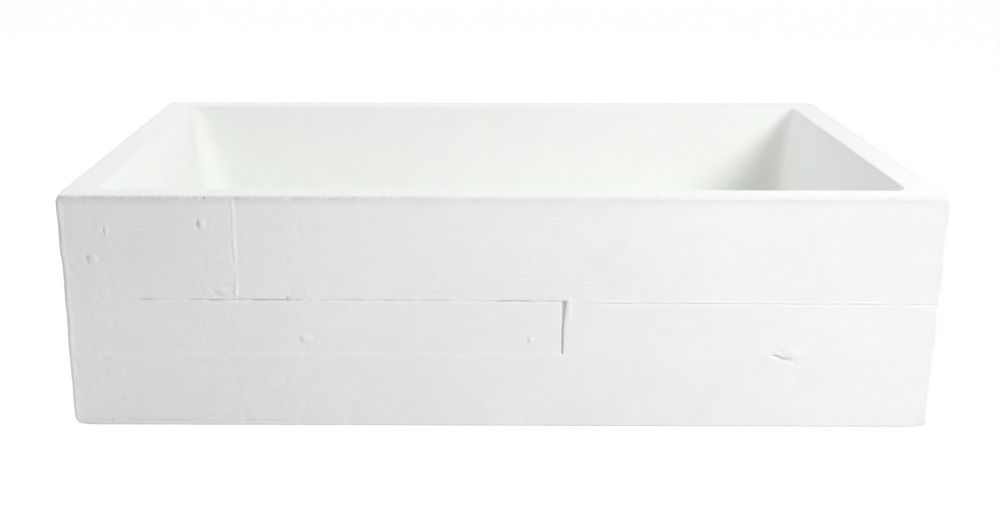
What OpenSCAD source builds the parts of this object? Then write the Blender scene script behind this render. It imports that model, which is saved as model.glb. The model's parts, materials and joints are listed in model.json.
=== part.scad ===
// Cast-concrete trough sink with a push-to-close plug.
//
// One board-formed concrete casting holds the bowl. A chrome waste is clamped through its floor,
// and inside the waste a spring cartridge lifts the plug or latches it shut at each push.
// +X is the long way, -Y is the front and +Z is up. The origin is the middle of the footprint.

/* [Basin] */
// Overall width, left to right
basin_w = 914; // [760:1:1220]
// Overall depth, front to back
basin_d = 508; // [440:1:600]
// Overall height
basin_h = 254; // [246:1:300]
// Thickness of the walls at the rim
rim_t = 32; // [26:1:42]
// Depth of the bowl at the waste
bowl_depth = 150; // [120:1:154]
// Lean of the bowl's end walls from upright, in degrees
end_lean = 12; // [4:0.5:16]
// Lean of the bowl's front and back walls from upright, in degrees
long_lean = 8; // [4:0.5:14]
// Radius of the bowl's upright corners at the rim
bowl_corner_r = 20; // [12:1:38]
// Radius where the bowl's walls turn into its floor
bowl_foot_r = 40; // [28:1:55]
// How far the bowl's floor falls from its edge to the waste
floor_fall = 8; // [3:0.5:12]
// Thickness of the floor at the waste
floor_t = 32; // [26:1:36]
// Thickness of the skirt that the basin stands on
skirt_t = 45; // [36:1:60]
// Draft of the recess under the floor, in degrees
recess_draft = 6; // [2:0.5:10]
// Radius of the recess's upright corners
recess_corner_r = 40; // [20:1:60]
// Rounding along the outer foot
foot_edge_r = 6; // [3:0.5:10]
// Rounding along the rim's outer edge and up the corners
arris_r = 2.5; // [1.5:0.5:4]

/* [Board marks] */
// Height of the lowest board
low_board_h = 79; // [60:1:90]
// Height of the middle board
mid_board_h = 62; // [45:1:75]
// Butt joint in the top course, from the middle of the face
top_joint_x = -279; // [-320:1:-120]
// Butt joint in the middle course, from the middle of the face
mid_joint_x = 63; // [-100:1:160]
// Deepest that a board's face lies behind the casting's fins
board_relief = 1.8; // [1:0.1:2.5]
// Thickness of the fins cast between the boards
fin_t = 2; // [1.5:0.1:3]
// Width of the groove where a board's edge stood proud
groove_w = 3; // [2:0.1:5]
// Width at the top of the wedge-shaped gap in the middle course
wedge_w = 7; // [4:0.5:10]
// Width at the foot of that gap
wedge_foot_w = 1; // [0.5:0.1:3]
// Depth of the wedge-shaped gap
wedge_deep = 4; // [2.5:0.5:6]
// Diameter of the nail-head marks
nail_d = 9; // [6:0.5:12]
// Height of the nail-head marks
nail_rise = 0.8; // [0.4:0.1:1]

/* [Waste] */
// Outer diameter of the waste's threaded barrel
thread_d = 41.9; // [40:0.1:44]
// Bore of the waste
waste_bore_d = 36; // [34:0.1:37]
// Diameter of the waste's flange
flange_d = 66; // [62:0.5:76]
// Thickness of the waste's flange
flange_t = 3; // [2.5:0.1:4]
// Radius where the flange turns down into the bore
throat_r = 4; // [3:0.1:5]
// Rounding of the flange's edge
flange_edge_r = 1; // [0.5:0.1:1.2]
// Thickness of the gasket under the flange
gasket_t = 2; // [1:0.1:3]
// How far that gasket stays inside the flange's edge
gasket_inset = 2; // [1:0.1:4]
// Diameter of the hole through the concrete floor
drain_hole_d = 46; // [45:0.5:50]
// Gap round the flange in its seat in the concrete
flange_gap = 1.5; // [0.5:0.1:3]
// Thickness of the cone gasket's disc
cone_t = 8; // [5:0.5:10]
// Height of the cone that enters the drain hole
cone_rise = 4; // [2:0.5:6]
// Diameter of the cone gasket
cone_d = 62; // [56:0.5:72]
// Thickness of the slip washer
slip_t = 1.5; // [1:0.1:2.5]
// Diameter of the slip washer and of the lock nut's collar
slip_d = 61; // [57:0.5:66]
// Width across the flats of the lock nut
lock_nut_af = 52; // [49:0.5:58]
// Height of the lock nut
lock_nut_h = 12; // [8:0.5:14]
// Height of the lock nut's collar
lock_collar_h = 2.5; // [1.5:0.1:4]
// Length of thread left below the lock nut for the trap
outlet_l = 36; // [25:1:38]
// How far below the lock nut the relief groove starts
relief_drop = 0.5; // [0.5:0.1:2]
// Width of the relief groove between the lock nut's thread and the trap's
relief_w = 2; // [1:0.5:4]
// Depth of the relief groove
relief_deep = 0.8; // [0.4:0.1:1.5]

/* [Plug] */
// Diameter of the plug's cap
cap_d = 62; // [54:0.5:66]
// Height of the cap's upright edge
cap_edge_h = 2.5; // [1.5:0.1:4]
// Rise of the cap's dome above that edge
cap_rise = 4; // [2:0.1:6]
// Wall of the cap
cap_t = 2; // [1.5:0.1:2.5]
// How far a full push moves the plug down
travel = 9.5; // [8:0.1:10.5]
// How far the plug comes back up from a full push to its latch
latch_back = 1.5; // [1:0.1:2]
// Thickness of the plug's sealing ring
seal_d = 3.5; // [2.5:0.1:4]
// Height of the carrier's sealing disc
carrier_h = 6; // [5:0.1:7]
// Gap round the carrier's disc in the bore
carrier_gap = 0.6; // [0.4:0.1:1]
// Diameter of the carrier's hub
hub_d = 18; // [15:0.5:20]
// Height of the carrier's hub above its disc
hub_h = 3; // [2:0.1:4]
// Diameter of the plunger's stem
stem_d = 8; // [6:0.1:9]
// How far below the inside of the cap's dome the stem ends
stem_short = 1.5; // [1:0.1:2.5]
// Width across the flats of the jam nut
jam_nut_af = 13; // [11:0.5:15]
// Height of the jam nut
jam_nut_h = 4; // [3:0.1:5]

/* [Cartridge] */
// Outer diameter of the cartridge
cartridge_d = 18; // [17.5:0.1:20]
// Bore of the cartridge's upper half
upper_bore_d = 15; // [14.4:0.1:15.6]
// Diameter of the plunger's indexing drum
drum_d = 11; // [10:0.1:11.4]
// Diameter of the index ring's pins
pin_d = 1.6; // [1.2:0.1:2]
// Gap between a pin's tip and the floor of its track
pin_tip_gap = 0.2; // [0.1:0.05:0.4]
// Depth of the track in the drum
track_deep = 1.1; // [0.8:0.1:1.4]
// Play of a pin in its track, on each side
track_play = 0.4; // [0.3:0.05:0.5]
// Metal left between the track and the drum's ends
track_land = 2; // [1.5:0.1:3]
// Height of the index ring
ring_h = 4; // [3:0.1:5]
// Height of the gland's head
gland_head_h = 3; // [2:0.1:4]
// Length of the gland inside the cartridge
gland_l = 6; // [5:0.1:8]
// Thickness of the small sealing ring in the gland
gland_seal_d = 1.8; // [1.4:0.1:2]
// Thickness of the cartridge's floor
cartridge_floor_t = 3; // [2:0.1:4]
// Diameter of the cartridge's mounting stud
stud_d = 10; // [8:0.1:11]
// Height of the spider that carries the cartridge
spider_h = 6; // [4:0.1:8]
// Width of the spider's arms
spider_arm_w = 3.5; // [2.5:0.1:5]
// Number of the spider's arms
spider_arms = 3; // [3:1:4]
// Width across the flats of the stud's nut
stud_nut_af = 16; // [14:0.5:18]
// Height of the stud's nut
stud_nut_h = 6; // [4:0.1:7]
// Length of stud that shows below its nut
stud_show = 1.5; // [1:0.1:3]
// Thickness of the spring's wire
wire_d = 0.9; // [0.7:0.05:1]
// Number of the spring's turns
spring_turns = 6; // [5:0.5:7]

/* [Fits] */
// Radial clearance of what slides or turns
running_fit = 0.08; // [0.05:0.01:0.1]
// Radial clearance of what is screwed or slipped on and stays
thread_fit = 0.1; // [0.05:0.01:0.2]
// Air between faces that stop just short of each other
end_gap = 0.3; // [0.2:0.05:0.5]
// Air left under the jam nut at a full push
stroke_gap = 0.5; // [0.3:0.1:1]

/* [Hidden] */

$fn = 96;
eps = 0.01;
hull_fn = 32;
over = 5;               // how far a cut runs past the face that it opens
weld = 0.5;             // how far a fused piece reaches into what carries it
chamfer = 1;            // on the ends of threads and of the stem
fine_chamfer = 0.4;     // on the edges of the cap and of its carrier

// Levels of the waste, from the flange down
z_flange = basin_h - bowl_depth;
z_seat = z_flange - flange_t - gasket_t;
z_under = z_flange - floor_t;
z_cone = z_under - cone_t;
z_slip = z_cone - slip_t;
z_lock_nut = z_slip - lock_nut_h;
z_outlet = z_lock_nut - outlet_l;

// Levels of the plug when it stands open
latch_travel = travel - latch_back;
seal_cover = 0.3;       // bore above the sealing ring when the plug is latched
z_seal = z_flange - throat_r - seal_cover - seal_d / 2 + latch_travel;
z_carrier = z_seal - carrier_h / 2;
z_cap = z_flange + end_gap + travel;
z_cap_top = z_cap + cap_edge_h + cap_rise;
z_cap_boss = z_carrier + carrier_h + hub_h;
z_stem_top = z_cap_top - cap_t - stem_short;
plug_seal_r = waste_bore_d / 2 - running_fit - seal_d / 2;

// Levels of the cartridge, from the gland down
z_gland = z_carrier - jam_nut_h - travel - stroke_gap;
z_barrel = z_gland - gland_head_h;
z_gland_foot = z_barrel - gland_l;
gland_groove_h = gland_seal_d + 2 * running_fit;
z_gland_groove = z_gland_foot + (gland_l - gland_groove_h) / 2;
drum_h = travel + pin_d + 2 * track_land;
z_drum_top = z_gland_foot - end_gap;
z_drum = z_drum_top - drum_h;
z_pins = z_drum + track_land + pin_d / 2;
z_ring = z_pins - ring_h / 2;
z_sleeve = z_pins + ring_h / 2 + end_gap / 2;
spring_solid = wire_d * (spring_turns + 2);     // with its turns touching, and its two end turns
z_spring = z_drum - travel - spring_solid;
z_spider = z_spring - cartridge_floor_t;
z_spider_foot = z_spider - spider_h;
z_stud_nut = z_spider_foot - stud_nut_h;
z_stud = z_stud_nut - stud_show;

// Index track: two presses take the ring through four strokes of index_step degrees
index_step = 45;
dimple_pitch = 1.2;     // spacing of the drilled dimples that make the track

// Seat for the flange in the concrete, and the holes that slip over a thread
seat_d = flange_d + 2 * flange_gap;
waste_slip_d = thread_d + 2 * thread_fit;
stem_slip_d = stem_d + 2 * thread_fit;
stud_slip_d = stud_d + 2 * thread_fit;

// Faces of the casting, in quarter turns from the front
half_across = [basin_d / 2, basin_w / 2, basin_d / 2, basin_w / 2];
half_along = [basin_w / 2, basin_d / 2, basin_w / 2, basin_d / 2];
courses = [0, low_board_h, low_board_h + mid_board_h, basin_h];
// Butt joints of each course on each face, and how deep each board lies as a share of board_relief
joints = [
    [[], [mid_joint_x], [top_joint_x]],
    [[], [], []],
    [[-mid_joint_x], [], [-top_joint_x]],
    [[], [], []],
];
board_share = [
    [[0.6], [0.5, 0.8], [0.7, 0.5]],
    [[0.7], [0.5], [0.8]],
    [[0.7, 0.5], [0.6], [0.5, 0.8]],
    [[0.5], [0.8], [0.6]],
];
// Nail-head marks on the front: place along the face, height above the board's foot, and course
nails = [[43 - half_along[0], 77, 2], [30 - half_along[0], 45, 2], [top_joint_x - 35, 85, 2],
         [mid_joint_x - 267, 18, 1], [mid_joint_x - 38, 16, 1]];

// Rounding of a concave or convex quarter, as points from angle a to angle b
function arc(cx, cz, r, a, b, n = 8) =
    [for (i = [0:n]) let (t = a + (b - a) * i / n) [cx + r * cos(t), cz + r * sin(t)]];

module turned(points) {
    rotate_extrude() polygon(points);
}

module washer(d_out, d_in, h) {
    difference() {
        cylinder(d = d_out, h = h);
        translate([0, 0, -over]) cylinder(d = d_in, h = h + 2 * over);
    }
}

// Hexagonal nut with its corners turned off at 30 degrees at both ends
module hex_nut(across_flats, h, bore) {
    corner_d = across_flats / cos(30);
    bevel = (corner_d - across_flats) / 2;
    drop = bevel * tan(30);
    difference() {
        intersection() {
            cylinder(d = corner_d, h = h, $fn = 6);
            turned([[0, 0], [corner_d / 2 - bevel, 0], [corner_d / 2, drop],
                    [corner_d / 2, h - drop], [corner_d / 2 - bevel, h], [0, h]]);
        }
        translate([0, 0, -over]) cylinder(d = bore, h = h + 2 * over);
    }
}

// Square of sides w by d round the origin, with corners of radius r
module rounded_rectangle(w, d, r) {
    square([w - 2 * r, d], center = true);
    square([w, d - 2 * r], center = true);
    for (x = [-1, 1], y = [-1, 1])
        translate([x * (w / 2 - r), y * (d / 2 - r)]) circle(r);
}

// Side view of the casting: foot_edge_r below, arris_r above
module side_outline(w) {
    translate([-w / 2, foot_edge_r]) square([w, basin_h - foot_edge_r - arris_r]);
    translate([-w / 2 + foot_edge_r, 0]) square([w - 2 * foot_edge_r, basin_h / 2]);
    translate([-w / 2 + arris_r, basin_h / 2]) square([w - 2 * arris_r, basin_h / 2]);
    for (side = [-1, 1]) {
        translate([side * (w / 2 - foot_edge_r), foot_edge_r]) circle(foot_edge_r);
        translate([side * (w / 2 - arris_r), basin_h - arris_r]) circle(arris_r);
    }
}

module block() {
    intersection() {
        linear_extrude(basin_h) rounded_rectangle(basin_w, basin_d, arris_r);
        rotate([90, 0, 0]) linear_extrude(basin_d + over, center = true) side_outline(basin_w);
        rotate([90, 0, 90]) linear_extrude(basin_w + over, center = true) side_outline(basin_d);
    }
}

// Half sizes of the bowl at a depth below the rim
function bowl_x(depth) = basin_w / 2 - rim_t - depth * tan(end_lean);
function bowl_y(depth) = basin_d / 2 - rim_t - depth * tan(long_lean);

module bowl() {
    edge_depth = bowl_depth - floor_fall;
    foot_x = bowl_x(edge_depth - bowl_foot_r) - bowl_foot_r;
    foot_y = bowl_y(edge_depth - bowl_foot_r) - bowl_foot_r;
    z_edge = basin_h - edge_depth;
    hull() {
        for (x = [-1, 1], y = [-1, 1]) {
            translate([x * (bowl_x(0) - bowl_corner_r), y * (bowl_y(0) - bowl_corner_r), basin_h])
                cylinder(r = bowl_corner_r, h = over, $fn = hull_fn);
            translate([x * foot_x, y * foot_y, z_edge + bowl_foot_r])
                sphere(r = bowl_foot_r, $fn = hull_fn);
        }
    }
    // The floor falls from all sides to the flange's seat
    hull() {
        for (x = [-1, 1], y = [-1, 1])
            translate([x * foot_x, y * foot_y, z_edge]) cylinder(r = eps, h = over, $fn = 8);
        translate([0, 0, z_flange])
            cylinder(d = seat_d, h = over, $fn = hull_fn);
    }
}

module underside_recess() {
    shrink = z_under * tan(recess_draft);
    low_x = basin_w / 2 - skirt_t;
    low_y = basin_d / 2 - skirt_t;
    hull() {
        for (x = [-1, 1], y = [-1, 1]) {
            translate([x * (low_x - recess_corner_r), y * (low_y - recess_corner_r), -over])
                cylinder(r = recess_corner_r, h = over, $fn = hull_fn);
            translate([x * (low_x - recess_corner_r), y * (low_y - recess_corner_r), z_under - eps])
                cylinder(r = recess_corner_r - shrink, h = eps, $fn = hull_fn);
        }
    }
}

// Draws in the plane of one face: X along it, Y into the casting, Z up
module on_face(i) {
    rotate(90 * i) translate([0, -half_across[i], 0]) children();
}

// Each board pressed its face a little behind the fins that ran between the boards
module board_faces(i) {
    for (course = [0:2]) {
        ends = concat([-half_along[i] - over], joints[i][course], [half_along[i] + over]);
        low = course == 0 ? -over : courses[course] + fin_t / 2;
        high = course == 2 ? basin_h + over : courses[course + 1] - fin_t / 2;
        for (board = [0:len(ends) - 2])
            translate([ends[board] + fin_t / 2, -over, low])
                cube([ends[board + 1] - ends[board] - fin_t,
                      over + board_relief * board_share[i][course][board], high - low]);
    }
}

// Groove along a seam, from x0 to x1 at height z
module seam_groove(x0, x1, z) {
    translate([(x0 + x1) / 2, 0, z])
        rotate([45, 0, 0]) cube([x1 - x0, groove_w, groove_w], center = true);
}

module wedge_gap() {
    foot = courses[1] + fin_t;
    head = courses[2] - fin_t / 2;
    translate([mid_joint_x, -over, 0])
        rotate([-90, 0, 0])
            linear_extrude(over + wedge_deep)
                polygon([[-wedge_w / 2, -head], [wedge_w / 2, -head],
                         [wedge_foot_w / 2, -foot], [-wedge_foot_w / 2, -foot]]);
}

// Shallow dome left by a nail's head in the board, on the board's own face
module nail_mark(x, z, share) {
    dome_r = (pow(nail_d / 2, 2) + pow(nail_rise, 2)) / (2 * nail_rise);
    translate([x, board_relief * share - nail_rise + dome_r, z]) sphere(dome_r);
}

module nail_marks() {
    for (nail = nails)
        nail_mark(nail[0], courses[nail[2]] + nail[1], board_share[0][nail[2]][0]);
}

module drain_hole() {
    translate([0, 0, z_seat])
        cylinder(d = seat_d, h = flange_t + gasket_t + over);
    cylinder(d = drain_hole_d, h = z_flange);
}

module basin() {
    color("whitesmoke") difference() {
        block();
        difference() {
            for (i = [0:3]) on_face(i) board_faces(i);
            on_face(0) nail_marks();
        }
        on_face(0) {
            seam_groove(-half_along[0] - over, mid_joint_x - wedge_w, courses[2]);
            seam_groove(mid_joint_x, half_along[0] + over, courses[1]);
            wedge_gap();
        }
        for (i = [1:3]) on_face(i)
            seam_groove(-half_along[i] - over, half_along[i] + over, courses[i == 2 ? 1 : 2]);
        bowl();
        underside_recess();
        drain_hole();
    }
}

module waste_body() {
    thread_r = thread_d / 2;
    bore_r = waste_bore_d / 2;
    z_relief = z_lock_nut - relief_drop;
    color("silver") {
        turned(concat(
            [[bore_r, z_outlet + chamfer], [bore_r + chamfer, z_outlet],
             [thread_r - chamfer, z_outlet], [thread_r, z_outlet + chamfer],
             [thread_r, z_relief - relief_w], [thread_r - relief_deep, z_relief - relief_w],
             [thread_r - relief_deep, z_relief], [thread_r, z_relief],
             [thread_r, z_flange - flange_t], [flange_d / 2, z_flange - flange_t]],
            arc(flange_d / 2 - flange_edge_r, z_flange - flange_edge_r, flange_edge_r, 0, 90, 4),
            arc(bore_r + throat_r, z_flange - throat_r, throat_r, 90, 180)));
        spider();
    }
}

// Arms and boss that carry the cartridge across the waste's bore
module spider() {
    translate([0, 0, z_spider_foot]) difference() {
        union() {
            cylinder(d = cartridge_d, h = spider_h);
            for (i = [0:spider_arms - 1])
                rotate(90 + i * 360 / spider_arms)
                    translate([0, -spider_arm_w / 2, 0])
                        cube([waste_bore_d / 2 + weld, spider_arm_w, spider_h]);
        }
        translate([0, 0, -over]) cylinder(d = stud_slip_d, h = spider_h + 2 * over);
    }
}

module flange_gasket() {
    color("dimgray") translate([0, 0, z_seat])
        washer(flange_d - 2 * gasket_inset, waste_slip_d, gasket_t);
}

module cone_gasket() {
    inner_r = waste_slip_d / 2;
    color("dimgray") turned([
        [inner_r, z_cone], [cone_d / 2 - chamfer, z_cone], [cone_d / 2, z_cone + chamfer],
        [cone_d / 2, z_under], [drain_hole_d / 2 - thread_fit, z_under],
        [(inner_r + drain_hole_d / 2) / 2, z_under + cone_rise], [inner_r, z_under + cone_rise]]);
}

module slip_washer() {
    color("ivory") translate([0, 0, z_slip])
        washer(slip_d, waste_slip_d, slip_t);
}

module lock_nut() {
    color("silver") translate([0, 0, z_lock_nut]) {
        hex_nut(lock_nut_af, lock_nut_h, waste_slip_d);
        translate([0, 0, lock_nut_h - lock_collar_h]) washer(slip_d, waste_slip_d, lock_collar_h);
    }
}

module cartridge_barrel() {
    upper_r = upper_bore_d / 2;
    lower_r = drum_d / 2 + running_fit;
    color("goldenrod") turned([
        [0, z_stud], [stud_d / 2 - chamfer, z_stud], [stud_d / 2, z_stud + chamfer],
        [stud_d / 2, z_spider],
        [cartridge_d / 2, z_spider], [cartridge_d / 2, z_barrel], [upper_r, z_barrel],
        [upper_r, z_ring], [lower_r, z_ring], [lower_r, z_spring], [0, z_spring]]);
}

module stud_nut() {
    color("goldenrod") translate([0, 0, z_stud_nut])
        hex_nut(stud_nut_af, stud_nut_h, stud_slip_d);
}

// Fills the cartridge between the index ring and the gland, and guides the drum
module guide_sleeve() {
    color("ivory") translate([0, 0, z_sleeve])
        washer(upper_bore_d - 2 * thread_fit, drum_d + 2 * running_fit, z_gland_foot - z_sleeve);
}

// Turns in the cartridge as its two pins follow the track
module index_ring() {
    inner_r = drum_d / 2 + 2 * running_fit;
    pin_tip = drum_d / 2 - track_deep + pin_tip_gap;
    color("ivory") {
        translate([0, 0, z_ring]) washer(upper_bore_d - 2 * running_fit, 2 * inner_r, ring_h);
        for (side = [0, 180])
            rotate(side) translate([pin_tip, 0, z_pins])
                rotate([0, 90, 0]) cylinder(d = pin_d, h = inner_r + weld - pin_tip);
    }
}

module gland_nut() {
    outer_r = upper_bore_d / 2 - thread_fit;
    bore_r = stem_d / 2 + running_fit;
    groove_r = bore_r + gland_seal_d + running_fit;
    z_groove_top = z_gland_groove + gland_groove_h;
    color("goldenrod") {
        turned([[bore_r, z_gland_foot], [outer_r, z_gland_foot], [outer_r, z_barrel],
                [bore_r, z_barrel], [bore_r, z_groove_top], [groove_r, z_groove_top],
                [groove_r, z_gland_groove], [bore_r, z_gland_groove]]);
        translate([0, 0, z_barrel]) hex_nut(cartridge_d, gland_head_h, 2 * bore_r);
    }
}

module gland_seal() {
    ring_r = stem_d / 2 + running_fit + gland_seal_d / 2;
    color("dimgray") translate([0, 0, z_gland_groove + gland_groove_h / 2])
        rotate_extrude() translate([ring_r, 0]) circle(d = gland_seal_d);
}

// One stroke of the track: from height a to height b over one index step, as drilled dimples
module track_stroke(start, a, b) {
    steps = ceil(norm([b - a, drum_d / 2 * index_step * PI / 180]) / dimple_pitch);
    for (i = [0:steps])
        rotate(start + index_step * i / steps)
            translate([drum_d / 2 - track_deep, 0, z_pins + a + (b - a) * i / steps])
                rotate([0, 90, 0])
                    cylinder(d = pin_d + 2 * track_play, h = drum_d / 2, $fn = 24);
}

// Down, back to the latch, down again and back up: two presses for each half turn
module index_track() {
    heights = [0, travel, latch_travel, travel, 0];
    for (half = [0, 180], stroke = [0:3])
        track_stroke(half + stroke * index_step, heights[stroke], heights[stroke + 1]);
}

module plunger() {
    color("lightgray") {
        difference() {
            translate([0, 0, z_drum]) cylinder(d = drum_d, h = drum_h);
            index_track();
        }
        turned([[0, z_drum_top - weld], [stem_d / 2, z_drum_top - weld],
                [stem_d / 2, z_stem_top - chamfer], [stem_d / 2 - chamfer, z_stem_top],
                [0, z_stem_top]]);
    }
}

// Points round the wire at parameter t, from 0 at the spring's foot to 1 at its head
function wire_ring(t, r, z0, z1, sides) =
    let (turn = 360 * spring_turns * t)
    [for (i = [0:sides - 1]) let (a = 360 * i / sides, out = r + wire_d / 2 * cos(a))
        [out * cos(turn), out * sin(turn), z0 + (z1 - z0) * t + wire_d / 2 * sin(a)]];

module return_spring() {
    sides = 8;
    rings = ceil(spring_turns * 14);
    coil_r = drum_d / 2 - end_gap - wire_d / 2;
    z0 = z_spring + end_gap / 2 + wire_d / 2;
    z1 = z_drum - end_gap / 2 - wire_d / 2;
    points = [for (k = [0:rings]) each wire_ring(k / rings, coil_r, z0, z1, sides)];
    sheath = [for (k = [0:rings - 1], i = [0:sides - 1])
        let (a = k * sides + i, b = k * sides + (i + 1) % sides)
        each [[a, b, b + sides], [a, b + sides, a + sides]]];
    ends = [[for (i = [sides - 1:-1:0]) i], [for (i = [0:sides - 1]) rings * sides + i]];
    color("lightsteelblue") polyhedron(points, concat(sheath, ends), convexity = 10);
}

module jam_nut() {
    color("goldenrod") translate([0, 0, z_carrier - jam_nut_h])
        hex_nut(jam_nut_af, jam_nut_h, stem_slip_d);
}

module plug_carrier() {
    disc_r = waste_bore_d / 2 - carrier_gap;
    groove_r = plug_seal_r - seal_d / 2 - thread_fit;
    groove_h = seal_d + 2 * thread_fit;
    bore_r = stem_slip_d / 2;
    color("ivory") turned([
        [bore_r, z_carrier], [disc_r - fine_chamfer, z_carrier],
        [disc_r, z_carrier + fine_chamfer], [disc_r, z_seal - groove_h / 2],
        [groove_r, z_seal - groove_h / 2], [groove_r, z_seal + groove_h / 2],
        [disc_r, z_seal + groove_h / 2], [disc_r, z_carrier + carrier_h],
        [hub_d / 2, z_carrier + carrier_h], [hub_d / 2, z_cap_boss], [bore_r, z_cap_boss]]);
}

module plug_seal() {
    color("dimgray") translate([0, 0, z_seal])
        rotate_extrude() translate([plug_seal_r, 0]) circle(d = seal_d);
}

// Height of a dome of the given rise over a circle of radius r_edge, at radius r
function dome_z(r, r_edge, rise) =
    let (ball = (pow(r_edge, 2) + pow(rise, 2)) / (2 * rise))
    sqrt(pow(ball, 2) - pow(r, 2)) - ball + rise;

module plug_cap() {
    cap_r = cap_d / 2;
    boss_r = hub_d / 2;
    inner_r = cap_r - cap_t;
    z_edge = z_cap + cap_edge_h;
    steps = 10;
    color("silver") difference() {
        turned(concat(
            [[0, z_cap_boss], [boss_r, z_cap_boss],
             [boss_r, z_edge - cap_t + dome_z(boss_r, inner_r, cap_rise)]],
            [for (i = [1:steps]) let (r = boss_r + (inner_r - boss_r) * i / steps)
                [r, z_edge - cap_t + dome_z(r, inner_r, cap_rise)]],
            [[inner_r, z_cap], [cap_r - fine_chamfer, z_cap], [cap_r, z_cap + fine_chamfer]],
            [for (i = [steps:-1:0]) let (r = cap_r * i / steps)
                [r, z_edge + dome_z(r, cap_r, cap_rise)]]));
        translate([0, 0, z_cap_boss - over])
            cylinder(d = stem_slip_d, h = z_stem_top + end_gap - z_cap_boss + over);
    }
}

basin();
waste_body();
flange_gasket();
cone_gasket();
slip_washer();
lock_nut();
cartridge_barrel();
stud_nut();
guide_sleeve();
index_ring();
gland_nut();
gland_seal();
plunger();
return_spring();
jam_nut();
plug_carrier();
plug_seal();
plug_cap();
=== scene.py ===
# %% [markdown]
# # A trough sink cast in white concrete
#
# This lesson dresses a cast-concrete trough sink. The real one is poured upside down in a box of old
# boards, so its outside is a print of those boards: seams, butt joints, nail heads, a knot and grain.
# Its bowl is smooth. In its floor sits a chrome waste with a plug that opens and shuts at each push.
#
# The exact model comes first and stays as the frame. Four of its pieces then get a fuller shape: the
# casting, the threaded waste, the spring and the plug's cap. All the others keep their shape and get a
# finish.

# %% Load the exact model
import json
import math

import bmesh
import bpy
import numpy as np
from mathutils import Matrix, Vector, noise


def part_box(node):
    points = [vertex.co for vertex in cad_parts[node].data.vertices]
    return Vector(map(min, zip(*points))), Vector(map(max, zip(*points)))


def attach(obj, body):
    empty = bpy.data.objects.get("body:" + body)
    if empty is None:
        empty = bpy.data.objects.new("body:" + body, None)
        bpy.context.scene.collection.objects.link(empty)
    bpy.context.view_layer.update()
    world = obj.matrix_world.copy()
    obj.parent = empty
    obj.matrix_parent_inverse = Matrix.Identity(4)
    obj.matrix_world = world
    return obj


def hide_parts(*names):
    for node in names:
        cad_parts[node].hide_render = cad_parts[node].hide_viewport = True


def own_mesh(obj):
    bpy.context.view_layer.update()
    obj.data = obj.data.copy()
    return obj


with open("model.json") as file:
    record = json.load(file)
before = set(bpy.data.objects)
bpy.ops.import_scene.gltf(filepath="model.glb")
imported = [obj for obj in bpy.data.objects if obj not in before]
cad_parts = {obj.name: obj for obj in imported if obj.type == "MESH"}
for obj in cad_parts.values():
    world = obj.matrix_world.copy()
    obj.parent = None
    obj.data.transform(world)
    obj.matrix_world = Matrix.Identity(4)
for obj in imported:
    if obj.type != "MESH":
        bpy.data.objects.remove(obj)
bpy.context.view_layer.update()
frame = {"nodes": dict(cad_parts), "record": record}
nodes = frame["nodes"]
print("pieces in the frame:", len(nodes))

# %% [markdown]
# ## The camera
#
# The photograph was taken with a slightly long lens, from a little above the rim. The lens and the
# place were found by fitting the casting's corners. The photographer kept its upright edges nearly
# upright with a strong shift of the lens. A shift stays in every other view of the scene and pushes the
# object out of the frame there, so the one here is small, and the edges lean a few pixels more.


# %% Camera
def placed(name, data):
    """A new object with its data, linked to the scene."""
    made = bpy.data.objects.new(name, data)
    bpy.context.scene.collection.objects.link(made)
    return made


camera_data = bpy.data.cameras.new("camera")
camera_data.lens = 42.9
camera_data.shift_x, camera_data.shift_y = 0.047, -0.075
camera = placed("camera", camera_data)
camera.location = (-0.0458, -1.418, 0.5762)
camera.rotation_euler = [math.radians(turn) for turn in (75.26, -0.06, 0.28)]
bpy.context.scene.camera = camera
bpy.context.scene.view_settings.view_transform = "Standard"
print("lens", camera_data.lens, "shift", camera_data.shift_x, camera_data.shift_y)

# %% [markdown]
# ## Helpers for node trees
#
# Materials and Geometry Nodes are both trees of nodes. A few short helpers keep the lines that build
# them readable: one adds a node and sets or links its inputs, some stand for the nodes that are used
# most, and one makes a group with named inputs and outputs.


# %% Helpers for node trees
def add(tree, kind, inputs=None, **settings):
    """A new node, with its settings and the values or links of its inputs."""
    node = tree.nodes.new(kind)
    for name, value in settings.items():
        setattr(node, name, value)
    for key, value in (inputs or {}).items():
        if isinstance(value, bpy.types.NodeSocket):
            tree.links.new(value, node.inputs[key])
        else:
            node.inputs[key].default_value = value
    return node


def maths(tree, operation, a, b=0.0, clamp=False):
    """The result of one Math node."""
    return add(tree, "ShaderNodeMath", {0: a, 1: b}, operation=operation, use_clamp=clamp).outputs[0]


def times(tree, value, *factors):
    """Several values multiplied together."""
    for factor in factors:
        value = maths(tree, "MULTIPLY", value, factor)
    return value


def ramp(tree, value, low, high, to_low=0.0, to_high=1.0):
    """A smooth step from to_low to to_high as the value goes from low to high."""
    inputs = {"Value": value, "From Min": low, "From Max": high, "To Min": to_low, "To Max": to_high}
    return add(tree, "ShaderNodeMapRange", inputs, interpolation_type="SMOOTHSTEP").outputs["Result"]


def scaled(tree, vector, scale):
    """A vector multiplied by a scale for each axis."""
    return add(tree, "ShaderNodeVectorMath", {0: vector, 1: scale}, operation="MULTIPLY").outputs[0]


def noise_at(tree, vector, scale, detail, **more):
    """The value of a Noise Texture."""
    inputs = {"Vector": vector, "Scale": scale, "Detail": detail, **more}
    return add(tree, "ShaderNodeTexNoise", inputs).outputs[0]


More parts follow.
